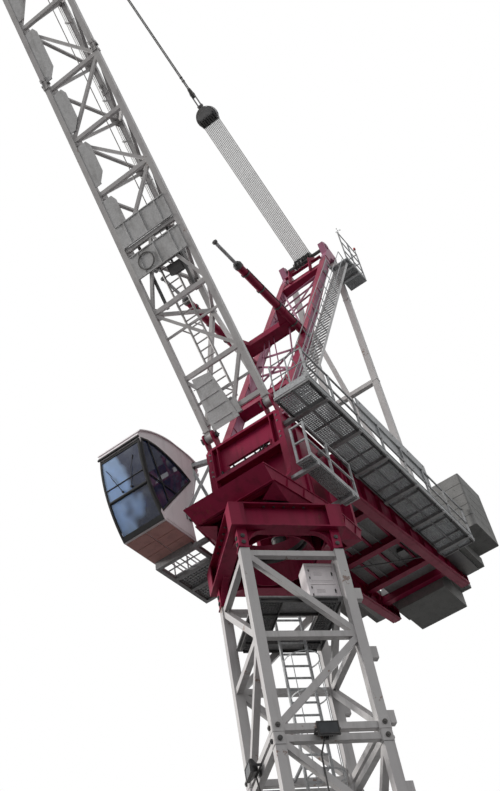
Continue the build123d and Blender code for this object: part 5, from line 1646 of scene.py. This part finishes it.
class CRANE_OT_a_frame(bpy.types.Operator):
    """Makes the A frame's braces, head fittings, sheaves, handrails and mast light"""

    bl_idname = "crane.a_frame"
    bl_label = "A frame"

    def execute(self, context):
        self.stiffen_legs()
        self.frame_head()
        self.fit_glands()
        self.rail_stair()
        self.guard_head()
        self.collar_ties()
        return {"FINISHED"}

    def stiffen_legs(self):
        """Collars and flanges of the legs, pins at the head, and the braces between the legs."""
        red, dark = Shape(), Shape()
        for side in SIDES:
            y = side * 0.49
            for along in (1.0, 2.55, 3.05, 4.9, 6.1, 7.3, 8.4):
                red.bar(on_leg(along - 0.01, y), on_leg(along + 0.01, y), 0.138, 0.166, LEG_OUT)
            for face in (-0.079, 0.079):
                red.bar(on_leg(0.4, y, face), on_leg(8.3, y, face), 0.132, 0.008, LEG_OUT)
            dark.disc((ROPE_HEAD_X, side * 0.555, AXLE_Z), Y, 0.06, 0.022, 20)
            dark.box((ROPE_HEAD_X, side * 0.562, AXLE_Z), (0.11, 0.012, 0.024))
            dark.disc((TIE_HEAD_X, side * 0.556, TIE_HEAD_Z), Y, 0.04, 0.030)
        for along in (1.505, 1.759, 7.715, 7.991):
            red.bar(on_leg(along, -0.43), on_leg(along, 0.43), 0.012, 0.17, LEG_OUT)
        for x in (-1.41, -1.18):
            red.box((x, 0, ARM_LEVEL), (0.012, 0.88, 0.108))
        red.finish("a_frame_flanges", "works", edge=0.001)

        for (low, high), y in product(((2.32, 3.60), (4.05, 7.62)), (-0.425, 0.425)):
            dark.tube([on_leg(low, y), on_leg(high, -y)], 0.018)
        for y in (0.40, -0.40):
            dark.tube([(-1.30, y, ARM_LEVEL - 0.05), on_leg(2.4, y)], 0.014)
        for y in (-0.30, 0.0, 0.30):
            low = (-1.30, y * 0.3, ARM_LEVEL - 0.06)
            dark.tube([on_leg(1.76, y), on_leg(2.3, y * 0.6), low], 0.010)
        for along in (5.35, 5.95, 6.55, 7.15):
            dark.bar(on_leg(along, -0.43), on_leg(along + 0.42, 0.43), 0.026, 0.030, LEG_OUT)
        for along in (2.45, 3.35):
            ends = on_leg(along, 0.43, -0.03), on_leg(along + 0.75, -0.43, -0.03)
            dark.bar(*ends, 0.026, 0.030, LEG_OUT)
        dark.finish("a_frame_braces", "legs")

    def frame_head(self):
        """The bent bars over the head, the luffing ropes' sheaves and three guide sheaves."""
        head = Shape()
        for y in (-0.24, 0.24):
            head.bar(on_leg(7.84, y, 0.07), on_leg(8.36, y, 0.20), 0.020, 0.110, LEG_OUT)
            head.bar(on_leg(8.36, y, 0.20), on_leg(8.85, y, 0.06), 0.020, 0.070, LEG_OUT)
        head.bar(on_leg(8.50, -0.43, 0.10), on_leg(8.50, 0.43, 0.10), 0.06, 0.06, LEG_OUT)
        head.finish("a_frame_head_frame", "works", edge=0.002)

        sheaves = Shape()
        sheaves.sheave_row(ROPE_HEAD_X, AXLE_Z, 0.112, 0.100)
        for k in range(3):
            sheaves.sheave(on_leg(8.36, -0.08 + 0.08 * k, 0.22), Y, 0.075, 0.030, 0.02)
        sheaves.tube([on_leg(8.36, -0.25, 0.22), on_leg(8.36, 0.25, 0.22)], 0.014, 10)
        sheaves.finish("a_frame_small_sheaves", "dark")

    def fit_glands(self):
        """Glands, tips, pipes and collars of the two backstop arms."""
        arms = Shape()
        gland = [(0.028, -0.03), (0.068, -0.03), (0.072, -0.02), (0.072, 0.02)]
        gland += [(0.050, 0.035), (0.050, 0.055), (0.028, 0.055)]
        tip = [(0.002, -0.03), (0.036, -0.03), (0.042, -0.02), (0.042, 0.0)]
        tip += [(0.030, 0.006), (0.002, 0.006)]
        for side in SIDES:
            y = side * 0.49
            arms.lathe((0.195, y, ARM_LEVEL), X, gland, 24)
            arms.bolts((0.215, y, ARM_LEVEL), X, 0.060, 8, 0.014, 0.012)
            arms.lathe((0.78, y, ARM_LEVEL), X, tip)
            pipe = y + side * 0.066
            arms.tube([(-1.55, pipe, ARM_LEVEL + 0.01), (0.05, pipe, ARM_LEVEL + 0.01)], 0.008)
            for x in (-1.3, -0.85, -0.4, 0.0):
                arms.collar((x, y, ARM_LEVEL), X, 0.055, 0.075, 0.012)
        arms.finish("backstop_glands", "dark")

    def rail_stair(self):
        """Stringers, steps, handrails and brackets of the stair along the left leg."""
        foot, top = Vector((0.03, 0, WALK_LEVEL + 0.03)), Vector((-3.837, 0, HEAD_LEVEL - 0.012))
        up = (top - foot).normalized()
        lift = Vector((up.z, 0, -up.x))
        zinc, steps = Shape(), Shape()
        for y in (0.590, 0.880):
            side = Vector((0, y, 0))
            ends = foot + up * 0.35 + side, top - up * 0.10 + side
            zinc.rail(*ends, lift * 0.30, 0.009, 0.80, middle=0.5)
        for y in (0.585, 0.885):
            side = Vector((0, y, 0))
            steps.bar(foot + side + up * 0.02, top + side - up * 0.02, 0.012, 0.046, lift)
        for k in range(1, STEPS):
            point = foot + (top - foot) * k / STEPS
            steps.box((point.x, 0.735, point.z), (0.026, 0.288, 0.012))
        steps.finish("a_frame_steps", "step", replaces=["a_frame_ladder"])
        for k in range(6):
            along = 1.1 + 1.25 * k
            zinc.bar(on_leg(along, 0.550), on_leg(along, 0.592) + up * 0.05, 0.02, 0.04, LEG_OUT)
        zinc.finish("a_frame_stair_rails", "zinc")

    def guard_head(self):
        """Bars and toe boards of the head platform, the wind gauge and the light."""
        guard = Shape()
        guard.grating((-4.49, 0.575, HEAD_LEVEL - 0.012), (-3.75, 0.935))
        for x, y, size in (
            (-4.12, 0.941, (0.74, 0.004, 0.07)),
            (-4.496, 0.755, (0.004, 0.36, 0.07)),
            (-4.12, 0.569, (0.74, 0.004, 0.07)),
        ):
            guard.box((x, y, HEAD_LEVEL + 0.045), size)
        top = Vector((-4.487, 0.932, HEAD_LEVEL + 0.892))
        guard.tube([top, top + Vector((0, 0, 0.16))], 0.008)
        gauge = Vector((-3.80, 0.932, top.z))
        guard.tube([gauge, gauge + Vector((0, 0, 0.12))], 0.006)
        cup = [(0.002, -0.010), (0.016, 0.006), (0.014, 0.008), (0.002, -0.006)]
        hub = gauge + Vector((0, 0, 0.125))
        for c, s in compass(3):
            tip = hub + Vector((0.05 * c, 0.05 * s, 0))
            guard.tube([hub, tip], 0.003, 5)
            guard.lathe(tip, (-s, c, 0), cup, 10)
        guard.finish("head_platform_guard", "zinc")
        lamp = Shape()
        dome = [(0.002, 0), (0.026, 0), (0.026, 0.012), (0.024, 0.04), (0.016, 0.062)]
        lamp.lathe(top + Vector((0, 0, 0.16)), Z, [*dome, (0.002, 0.07)], 18)
        lamp.finish("mast_light", "beacon", smooth=True)

    def collar_ties(self):
        """Collars and foot blocks of the rear ties."""
        ties = Shape()
        for side in SIDES:
            for z in (13.2, 15.7, 18.0):
                x = TIE_HEAD_X - (TIE_HEAD_Z - z) / (TIE_HEAD_Z - 11.42) * 0.2
                ties.box((x, side * 0.5, z), (0.122, 0.122, 0.04))
            ties.box((-4.40, side * 0.5, GIRDER_TOP + 0.06), (0.16, 0.13, 0.10))
        ties.finish("rear_tie_collars", "lattice", edge=0.002)


JIB_NODES = [1.97, 3.02, 4.03, 5.03, 6.03, 7.25, 8.85, 10.45, 12.05, 13.65, 15.25, 16.85]


class CRANE_OT_jib(bpy.types.Operator):
    """Makes the jib's node plates, joint blocks, heel ladder, boards and foot fittings"""

    bl_idname = "crane.jib"
    bl_label = "Jib"

    def execute(self, context):
        pins = Shape("jib")
        self.plate_nodes()
        self.join_sections(pins)
        self.fit_ladder()
        self.lay_boards()
        self.cover_foot(pins)
        self.guide_ropes()
        return {"FINISHED"}

    def plate_nodes(self):
        """Gussets where the bars meet the chords."""
        plates = Shape("jib")
        for s, side in product(JIB_NODES[:-1], SIDES):
            corners = ((-0.10, -0.034), (0.10, -0.034), (0.06, 0.034), (-0.06, 0.034))
            y = side * (JIB_HALF - 0.043)
            plates.plate([(s + along, t) for along, t in corners], y, -side * 0.006)
            a = Vector((s, side * (JIB_HALF - 0.03), 0.042))
            lean = Vector((0, -side * JIB_HALF, JIB_DEPTH)).normalized() * 0.12
            self.node_plate(plates, a, lean, 0.11, (0, side * 0.006, 0.003))
        for s, side in product([(a + b) / 2 for a, b in pairwise(JIB_NODES)], SIDES):
            a = Vector((s, side * 0.030, JIB_DEPTH - 0.042))
            lean = Vector((0, side * JIB_HALF, -JIB_DEPTH)).normalized() * 0.12
            self.node_plate(plates, a, lean, 0.12, (0, side * 0.006, 0))
        plates.finish("jib_node_plates", "lattice", edge=0.001)

    def join_sections(self, pins):
        """Blocks, lugs and pins where two sections meet, and rings at the pivots."""
        joints = Shape("jib")
        chords = ((JIB_HALF, 0), (-JIB_HALF, 0), (0, JIB_DEPTH))
        pin = ((0, 0.022, 0.124), (0.064, 0.030, 0.008), (-0.064, 0.030, 0.008))
        for s, (y, t) in product((6.16, 12.18), chords):
            for reach in (-0.075, 0.075):
                joints.box((s + reach, y, t), (0.055, 0.104, 0.104))
            for lug in (-0.030, 0.030):
                joints.box((s, y + lug, t), (0.20, 0.014, 0.118))
            for out, radius, wide in pin:
                pins.disc((s, y + out, t), Y, radius, wide, 14)
        for y in (-JIB_HALF, JIB_HALF):
            joints.box((0.10, y, 0), (0.024, 0.104, 0.104))
            for out in (-0.046, 0.046):
                joints.collar((0, y + out, 0), Y, 0.0315, 0.070, 0.004, 24)
        joints.finish("jib_joint_blocks", "lattice", edge=0.002)

    def fit_ladder(self):
        """The ladder that lies in the heel."""
        ladder = Shape("jib")
        for y in (-0.20, 0.01):
            ladder.tube([(0.42, y, 0.30), (2.70, y, 0.30)], 0.019)
        for k in range(18):
            s = 0.50 + 0.125 * k
            ladder.tube([(s, -0.20, 0.30), (s, 0.01, 0.30)], 0.011, 6)
        for s in (0.50, 1.55, 2.60):
            for y in (-0.20, 0.01):
                ladder.bar((s, y, 0.30), (s, y, 0.02), 0.016, 0.016, X)
            ladder.bar((s, -0.44, 0.02), (s, 0.44, 0.02), 0.03, 0.03)
        ladder.finish("jib_ladder", "lattice", "galvanised")

    def lay_boards(self):
        """Walking boards between the nodes of the lower face."""
        boards = Shape("jib")
        y = -JIB_HALF + 0.042
        for first, last in pairwise(JIB_NODES[1:]):
            near, far = first + 0.13, last - 0.13
            outline = [(near, 0), (far - 0.05, 0), (far, 0.04), (far, 0.165), (far - 0.10, 0.215)]
            outline += [(near + 0.16, 0.215), (near, 0.10)]
            boards.prism([(s, y + out, -0.038) for s, out in outline], (0, 0, 0.005))
        boards.finish("jib_walk_boards", "pale_zinc", edge=0.001)

    def cover_foot(self, pins):
        """Ribs, bolts, plates, treads and a hoop under the heel."""
        foot = Shape("jib")
        for s0, s1 in ((2.518, 2.898), (3.05, 3.43)):
            for y in (-0.28, 0.0, 0.28):
                foot.box(((s0 + s1) / 2, y, -0.052), (s1 - s0 - 0.02, 0.018, 0.010))
            for s in (s0 + 0.012, s1 - 0.012):
                foot.box((s, 0, -0.052), (0.016, 0.86, 0.012))
            for k in range(5):
                for s in (s0 + 0.03, s1 - 0.03):
                    foot.bolt((s, -0.36 + 0.18 * k, -0.048), DOWN, 0.014, 0.008)
        foot.box((0.19, 0, -0.034), (0.20, 0.22, 0.010))
        wedge = ((0.10, -0.10), (0.10, 0.10), (0.36, 0.03), (0.36, -0.03))
        foot.prism([(s, y, 0.034) for s, y in wedge], (0, 0, 0.010))
        for k in range(4):
            s = 0.14 + 0.18 * k
            foot.box((s, -0.18 - 0.02 * k, -0.045), (0.012, 0.30, 0.008))
        ring = circle((2.70, -0.20, -0.060), Z, 0.125, 28)
        pins.ribbon(ring, Z, 0.010, 0.014, closed=True)
        foot.finish("jib_foot_plates", "pale_zinc", edge=0.001)
        for y in (-0.30, 0.30):
            pins.disc((0.19, y, 0), Y, 0.012, 0.08, 10)
        pins.finish("jib_joint_pins", "dark")

    def guide_ropes(self):
        """Brackets and rollers that guide the ropes along the jib."""
        guides = Shape("jib")
        for s in (3.36, 9.6):
            guides.bar((s, 0.0, JIB_DEPTH + 0.04), (s, 0.0, JIB_DEPTH + 0.14), 0.04, 0.012, X)
            for y in (-0.035, 0.035):
                guides.box((s, y, JIB_DEPTH + 0.085), (0.08, 0.008, 0.11))
        guides.bar((9.6, -JIB_HALF - 0.042, -0.02), (9.6, -JIB_HALF - 0.10, -0.10), 0.03, 0.03, X)
        guides.finish("jib_rope_guides", "lattice", edge=0.001)
        rollers = Shape("jib")
        for s in (3.36, 9.6):
            rollers.sheave((s, 0, JIB_DEPTH + 0.11), Y, 0.075, 0.034, 0.02)
        rollers.sheave((9.6, -JIB_HALF - 0.115, -0.11), X, 0.055, 0.030, 0.016)
        rollers.finish("jib_rollers", "sheave", smooth=True)

    def node_plate(self, plates, foot, lean, half, thickness):
        """A gusset that stands on a chord and narrows along the way it leans."""
        ring = [foot + Vector((-half, 0, 0)), foot + Vector((half, 0, 0))]
        ring += [foot + Vector((0.07, 0, 0)) + lean, foot + Vector((-0.07, 0, 0)) + lean]
        plates.prism(ring, thickness)


class CRANE_OT_hoist(bpy.types.Operator):
    """Makes the hoist winch, its rope along the jib, the head sheave and the hook block"""

    bl_idname = "crane.hoist"
    bl_label = "Hoist"

    def execute(self, context):
        self.run_ropes()
        self.fit_winch()
        self.dress_head()
        self.hang_hook(HOOK_X, HOOK_TOP)
        return {"FINISHED"}

    def run_ropes(self):
        """Rope on the drum and along the jib, and fixed lines with their clips."""
        rope = Shape("jib")
        rope.coil((HOIST_S, 0, HOIST_T), 0.130, 0.010, 0.37)
        rope.tube([(2.80, 0.02, 0.348), (10.0, 0.008, 0.376), (17.36, 0.0, 0.418)], 0.008)
        rope.finish("hoist_rope", "rope")
        lines = Shape("jib")
        for y, t in ((-0.060, 0.915), (0.060, 0.915), (-0.075, 0.880)):
            lines.tube([(3.30, y, t), (16.80, y, t)], 0.010, 6)
            for k in range(17):
                lines.box((3.5 + 0.82 * k, y, t), (0.020, 0.030, 0.030))
        lines.finish("jib_fixed_lines", "pale_rope")

    def fit_winch(self):
        """Covers, bolts and spokes of the hoist winch, and its motor."""
        winch = Shape("jib")
        for side in SIDES:
            cover = [(0.002, -0.02), (0.09, -0.02), (0.10, 0.0), (0.09, 0.02), (0.002, 0.02)]
            winch.lathe((HOIST_S, side * 0.285, HOIST_T), Y, cover)
            face = (HOIST_S, side * 0.306, HOIST_T)
            winch.bolts(face, Y, 0.070, 8, 0.014, 0.008, (0, side, 0))
            winch.spokes((HOIST_S, side * 0.218, HOIST_T), 0.03, 0.155, 6, 0.008, 0.014)
        rib = ((0.060, 0), (0.060, -0.010), (0.072, -0.010), (0.072, -0.018))
        profile = [(0.002, 0.16), (0.05, 0.16), (0.06, 0.15), *fins(0.13, -0.026, 7, *rib)]
        profile += [(0.064, -0.07), (0.050, -0.12), (0.002, -0.12)]
        winch.lathe((2.42, 0.10, 0.13), Y, profile, 20)
        winch.box((2.42, 0.10, 0.07), (0.15, 0.22, 0.03))
        winch.box((2.58, 0.255, 0.13), (0.26, 0.05, 0.12))
        winch.finish("hoist_winch_motor", "dark", edge=0.001)

    def dress_head(self):
        """The head's sheave, its pins and the flanges round its cheeks."""
        sheave = Shape("jib")
        sheave.sheave((JIB_END, 0, JIB_END_T), Y, 0.25, 0.06, 0.07)
        sheave.finish("jib_head_rope_sheave", "sheave", replaces=["jib_head_sheave"])
        cheeks = Shape("jib")
        for side in SIDES:
            for s, t in ((JIB_END, JIB_END_T), (LUG_S, LUG_T)):
                cheeks.disc((s, side * 0.176, t), Y, 0.06, 0.014, 20)
                cheeks.bolt((s, side * 0.182, t), (0, side, 0), 0.05, 0.022)
            rim = [(16.87, -0.035), (17.46, 0.065), (17.54, 0.262), (17.405, 1.11)]
            cheeks.strip([*rim, (17.10, 1.11), (16.87, 0.99)], side * 0.160, 0.044, 0.008)
        for s, t in ((17.50, 0.40), (17.44, 0.80), (17.25, 1.105)):
            cheeks.tube([(s, -0.16, t), (s, 0.16, t)], 0.018, 10)
        cheeks.finish("jib_head_trim", "lattice", edge=0.001)

    def hang_hook(self, x, z):
        """The hook block's cheeks, sheaves and hook, and the rope falls above it."""
        hook = Shape("hook")
        outline = [(-0.10, 1.10), (-0.06, 1.09), (0.06, 1.09), (0.10, 1.10), (0.098, 1.36)]
        outline += [(0.05, 1.51), (-0.05, 1.51), (-0.098, 1.36)]
        for side in SIDES:
            y = side * 0.058
            hook.plate([(x + out, z - drop) for out, drop in outline], y, side * 0.007)
            hook.disc((x, y * 1.08, z - 1.22), Y, 0.032, 0.008)
            hook.box((x, y * 0.96, z - 1.44), (0.17, 0.008, 0.10))
        for a, b in ((-0.085, -1.13), (0.085, -1.13), (-0.06, -1.48), (0.06, -1.48)):
            hook.tube([(x + a, -0.062, z + b), (x + a, 0.062, z + b)], 0.009)
        hook.box((x, 0, z - 1.465), (0.13, 0.105, 0.055))
        hook.finish("hook_block_cheeks", "hook", edge=0.002, replaces=["hook_block"])
        forging = Shape("hook")
        shank = [(0.002, -0.02), (0.030, -0.02), (0.026, 0.03), (0.026, 0.075), (0.034, 0.085)]
        forging.lathe((x, 0, z - 1.60), Z, [*shank, (0.034, 0.11), (0.002, 0.11)], 18)
        bend = (x + 0.012, 0, z - 1.62), (x, 0, z - 1.689), (x - 0.035, 0, z - 1.635)
        start = [(x, 0, z - 1.60), (x + 0.002, 0, z - 1.612)]
        forging.tube([*start, *arc(*bend, 14)], 0.0155, 12)
        forging.tube([(x + 0.008, 0.0, z - 1.61), (x - 0.030, 0.0, z - 1.632)], 0.005, 6)
        for y in (-0.022, 0.022):
            forging.sheave((x, y, z - 1.22), Y, 0.085, 0.034, 0.02)
        forging.finish("hook_and_sheaves", "dark")
        falls = Shape("hook")
        for y in (-0.016, 0.016):
            falls.tube([(x + y * 4.9, y, z - 1.20), (x + y * 0.6, y, z + 0.0)], 0.007)
        falls.finish("hook_rope_falls", "rope")


class CRANE_OT_stay(bpy.types.Operator):
    """Makes the pendants' ropes and sockets and the floating block's housing"""

    bl_idname = "crane.stay"
    bl_label = "Stay"

    def execute(self, context):
        self.hang_pendants()
        self.cover_block()
        self.reeve_falls()
        return {"FINISHED"}

    def hang_pendants(self):
        """Two ropes side by side with their sockets, links and clamps."""
        ropes, sockets = Shape("stay"), Shape("stay")
        for y in (-0.014, 0.014):
            ropes.tube([(0.18, y, 0), (5.0, y, 0), (10.05, y, 0)], 0.0125, 10)
        ropes.finish("pendant_ropes", "dark_rope", replaces=["pendants"])
        for s, way in ((0.16, 1), (10.10, -1)):
            cone = [(0.006, 0.0), (0.030, 0.0), (0.036, 0.05), (0.022, 0.20), (0.006, 0.24)]
            for y in (-0.014, 0.014):
                sockets.lathe((s, y, 0), X, [(r, way * along) for r, along in cone], 14)
        for y in (-0.046, 0.046):
            sockets.bar((-0.06, y, 0), (0.20, y, 0), 0.012, 0.085, Z)
            sockets.disc((0, y * 1.14, 0), Y, 0.052, 0.012, 20)
        sockets.disc((0.165, 0, 0), Y, 0.022, 0.110, 14)
        for s, radius, length in (
            (4.98, 0.030, 0.030), (5.06, 0.030, 0.030), (9.62, 0.034, 0.024), (9.70, 0.034, 0.024)
        ):
            sockets.disc((s, 0, 0), X, radius, length, 12)
        sockets.finish("pendant_sockets", "dark", edge=0.001)

    def cover_block(self):
        """The floating block's rounded housing with its bolts, straps and pins."""
        shroud = Shape("stay")
        nose = arc((10.64, -0.205, 0), (10.34, 0, 0), (10.64, 0.205, 0), 18)
        shroud.ribbon(nose, Z, 0.150, 0.012)
        dome = arc((10.60, -0.198, 0), (10.35, 0, 0), (10.60, 0.198, 0), 18)
        crown = arc((10.57, -0.150, 0), (10.40, 0, 0), (10.57, 0.150, 0), 14)
        for side in SIDES:
            shroud.prism([(p.x, p.y, side * 0.072) for p in dome], (0, 0, side * 0.012))
            shroud.prism([(p.x, p.y, side * 0.084) for p in crown], (0, 0, side * 0.018))
            shroud.disc((BLOCK_S, side * 0.205, 0), Y, 0.060, 0.020, 20)
            shroud.bolt((BLOCK_S, side * 0.214, 0), (0, side, 0), 0.045, 0.020)
        for y in (-0.034, 0.034):
            shroud.bar((9.98, y, 0), (10.42, y, 0), 0.014, 0.075)
        shroud.disc((10.02, 0, 0), Y, 0.024, 0.100, 14)
        shroud.disc((10.30, 0, 0), Y, 0.030, 0.120, 16)
        shroud.finish("floating_block_shroud", "bearer", "dark_steel", edge=0.002)

    def reeve_falls(self):
        """The block's sheaves and two nested sets of ropes that slide in each other."""
        block = Shape("stay")
        block.sheave_row(BLOCK_S, 0, 0.121, 0.110)
        block.disc((BLOCK_S, 0, 0), Y, 0.030, 0.420)
        upper, lower = Shape("stay"), Shape("rope_falls")
        for y in (-0.1815 + 0.033 * number for number in range(12)):
            upper.tube([(BLOCK_S, y, 0), (FALLS_MEET + 0.64, y, 0)], 0.0124)
            lower.tube([(FALLS_MEET, y, 0), (FALLS_END, y, 0)], 0.0127)
        upper.finish("rope_falls_upper", "pale_rope")
        lower.finish("rope_falls_lower", "pale_rope", replaces=["luffing_ropes"])
        block.finish("floating_block_sheaves", "dark", edge=0.001, replaces=["floating_block"])


OPERATORS = (
    CRANE_OT_finishes,
    CRANE_OT_mast,
    CRANE_OT_floodlights,
    CRANE_OT_tower_head,
    CRANE_OT_deck,
    CRANE_OT_turntable,
    CRANE_OT_cab,
    CRANE_OT_cab_platform,
    CRANE_OT_counter_jib,
    CRANE_OT_walkway,
    CRANE_OT_machinery,
    CRANE_OT_ballast,
    CRANE_OT_a_frame,
    CRANE_OT_jib,
    CRANE_OT_hoist,
    CRANE_OT_stay,
    CRANE_OT_stage,
)


class CRANE_PT_panel(bpy.types.Panel):
    """Lists the crane's operators"""

    bl_label = "Crane"
    bl_idname = "CRANE_PT_panel"
    bl_space_type = "VIEW_3D"
    bl_region_type = "UI"
    bl_category = "Crane"

    def draw(self, context):
        for operator in OPERATORS:
            self.layout.operator(operator.bl_idname)


CLASSES = (CraneColours, CraneStage, *OPERATORS, CRANE_PT_panel)


def register():
    for item in CLASSES:
        bpy.utils.register_class(item)
    bpy.types.Scene.crane_colours = PointerProperty(type=CraneColours)
    bpy.types.Scene.crane_stage = PointerProperty(type=CraneStage)


def unregister():
    del bpy.types.Scene.crane_stage
    del bpy.types.Scene.crane_colours
    for item in reversed(CLASSES):
        bpy.utils.unregister_class(item)


def main():
    """Registers the add-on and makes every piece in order."""
    register()
    for operator in OPERATORS:
        group, name = operator.bl_idname.split(".")
        getattr(getattr(bpy.ops, group), name)()


if __name__ == "__main__":
    main()
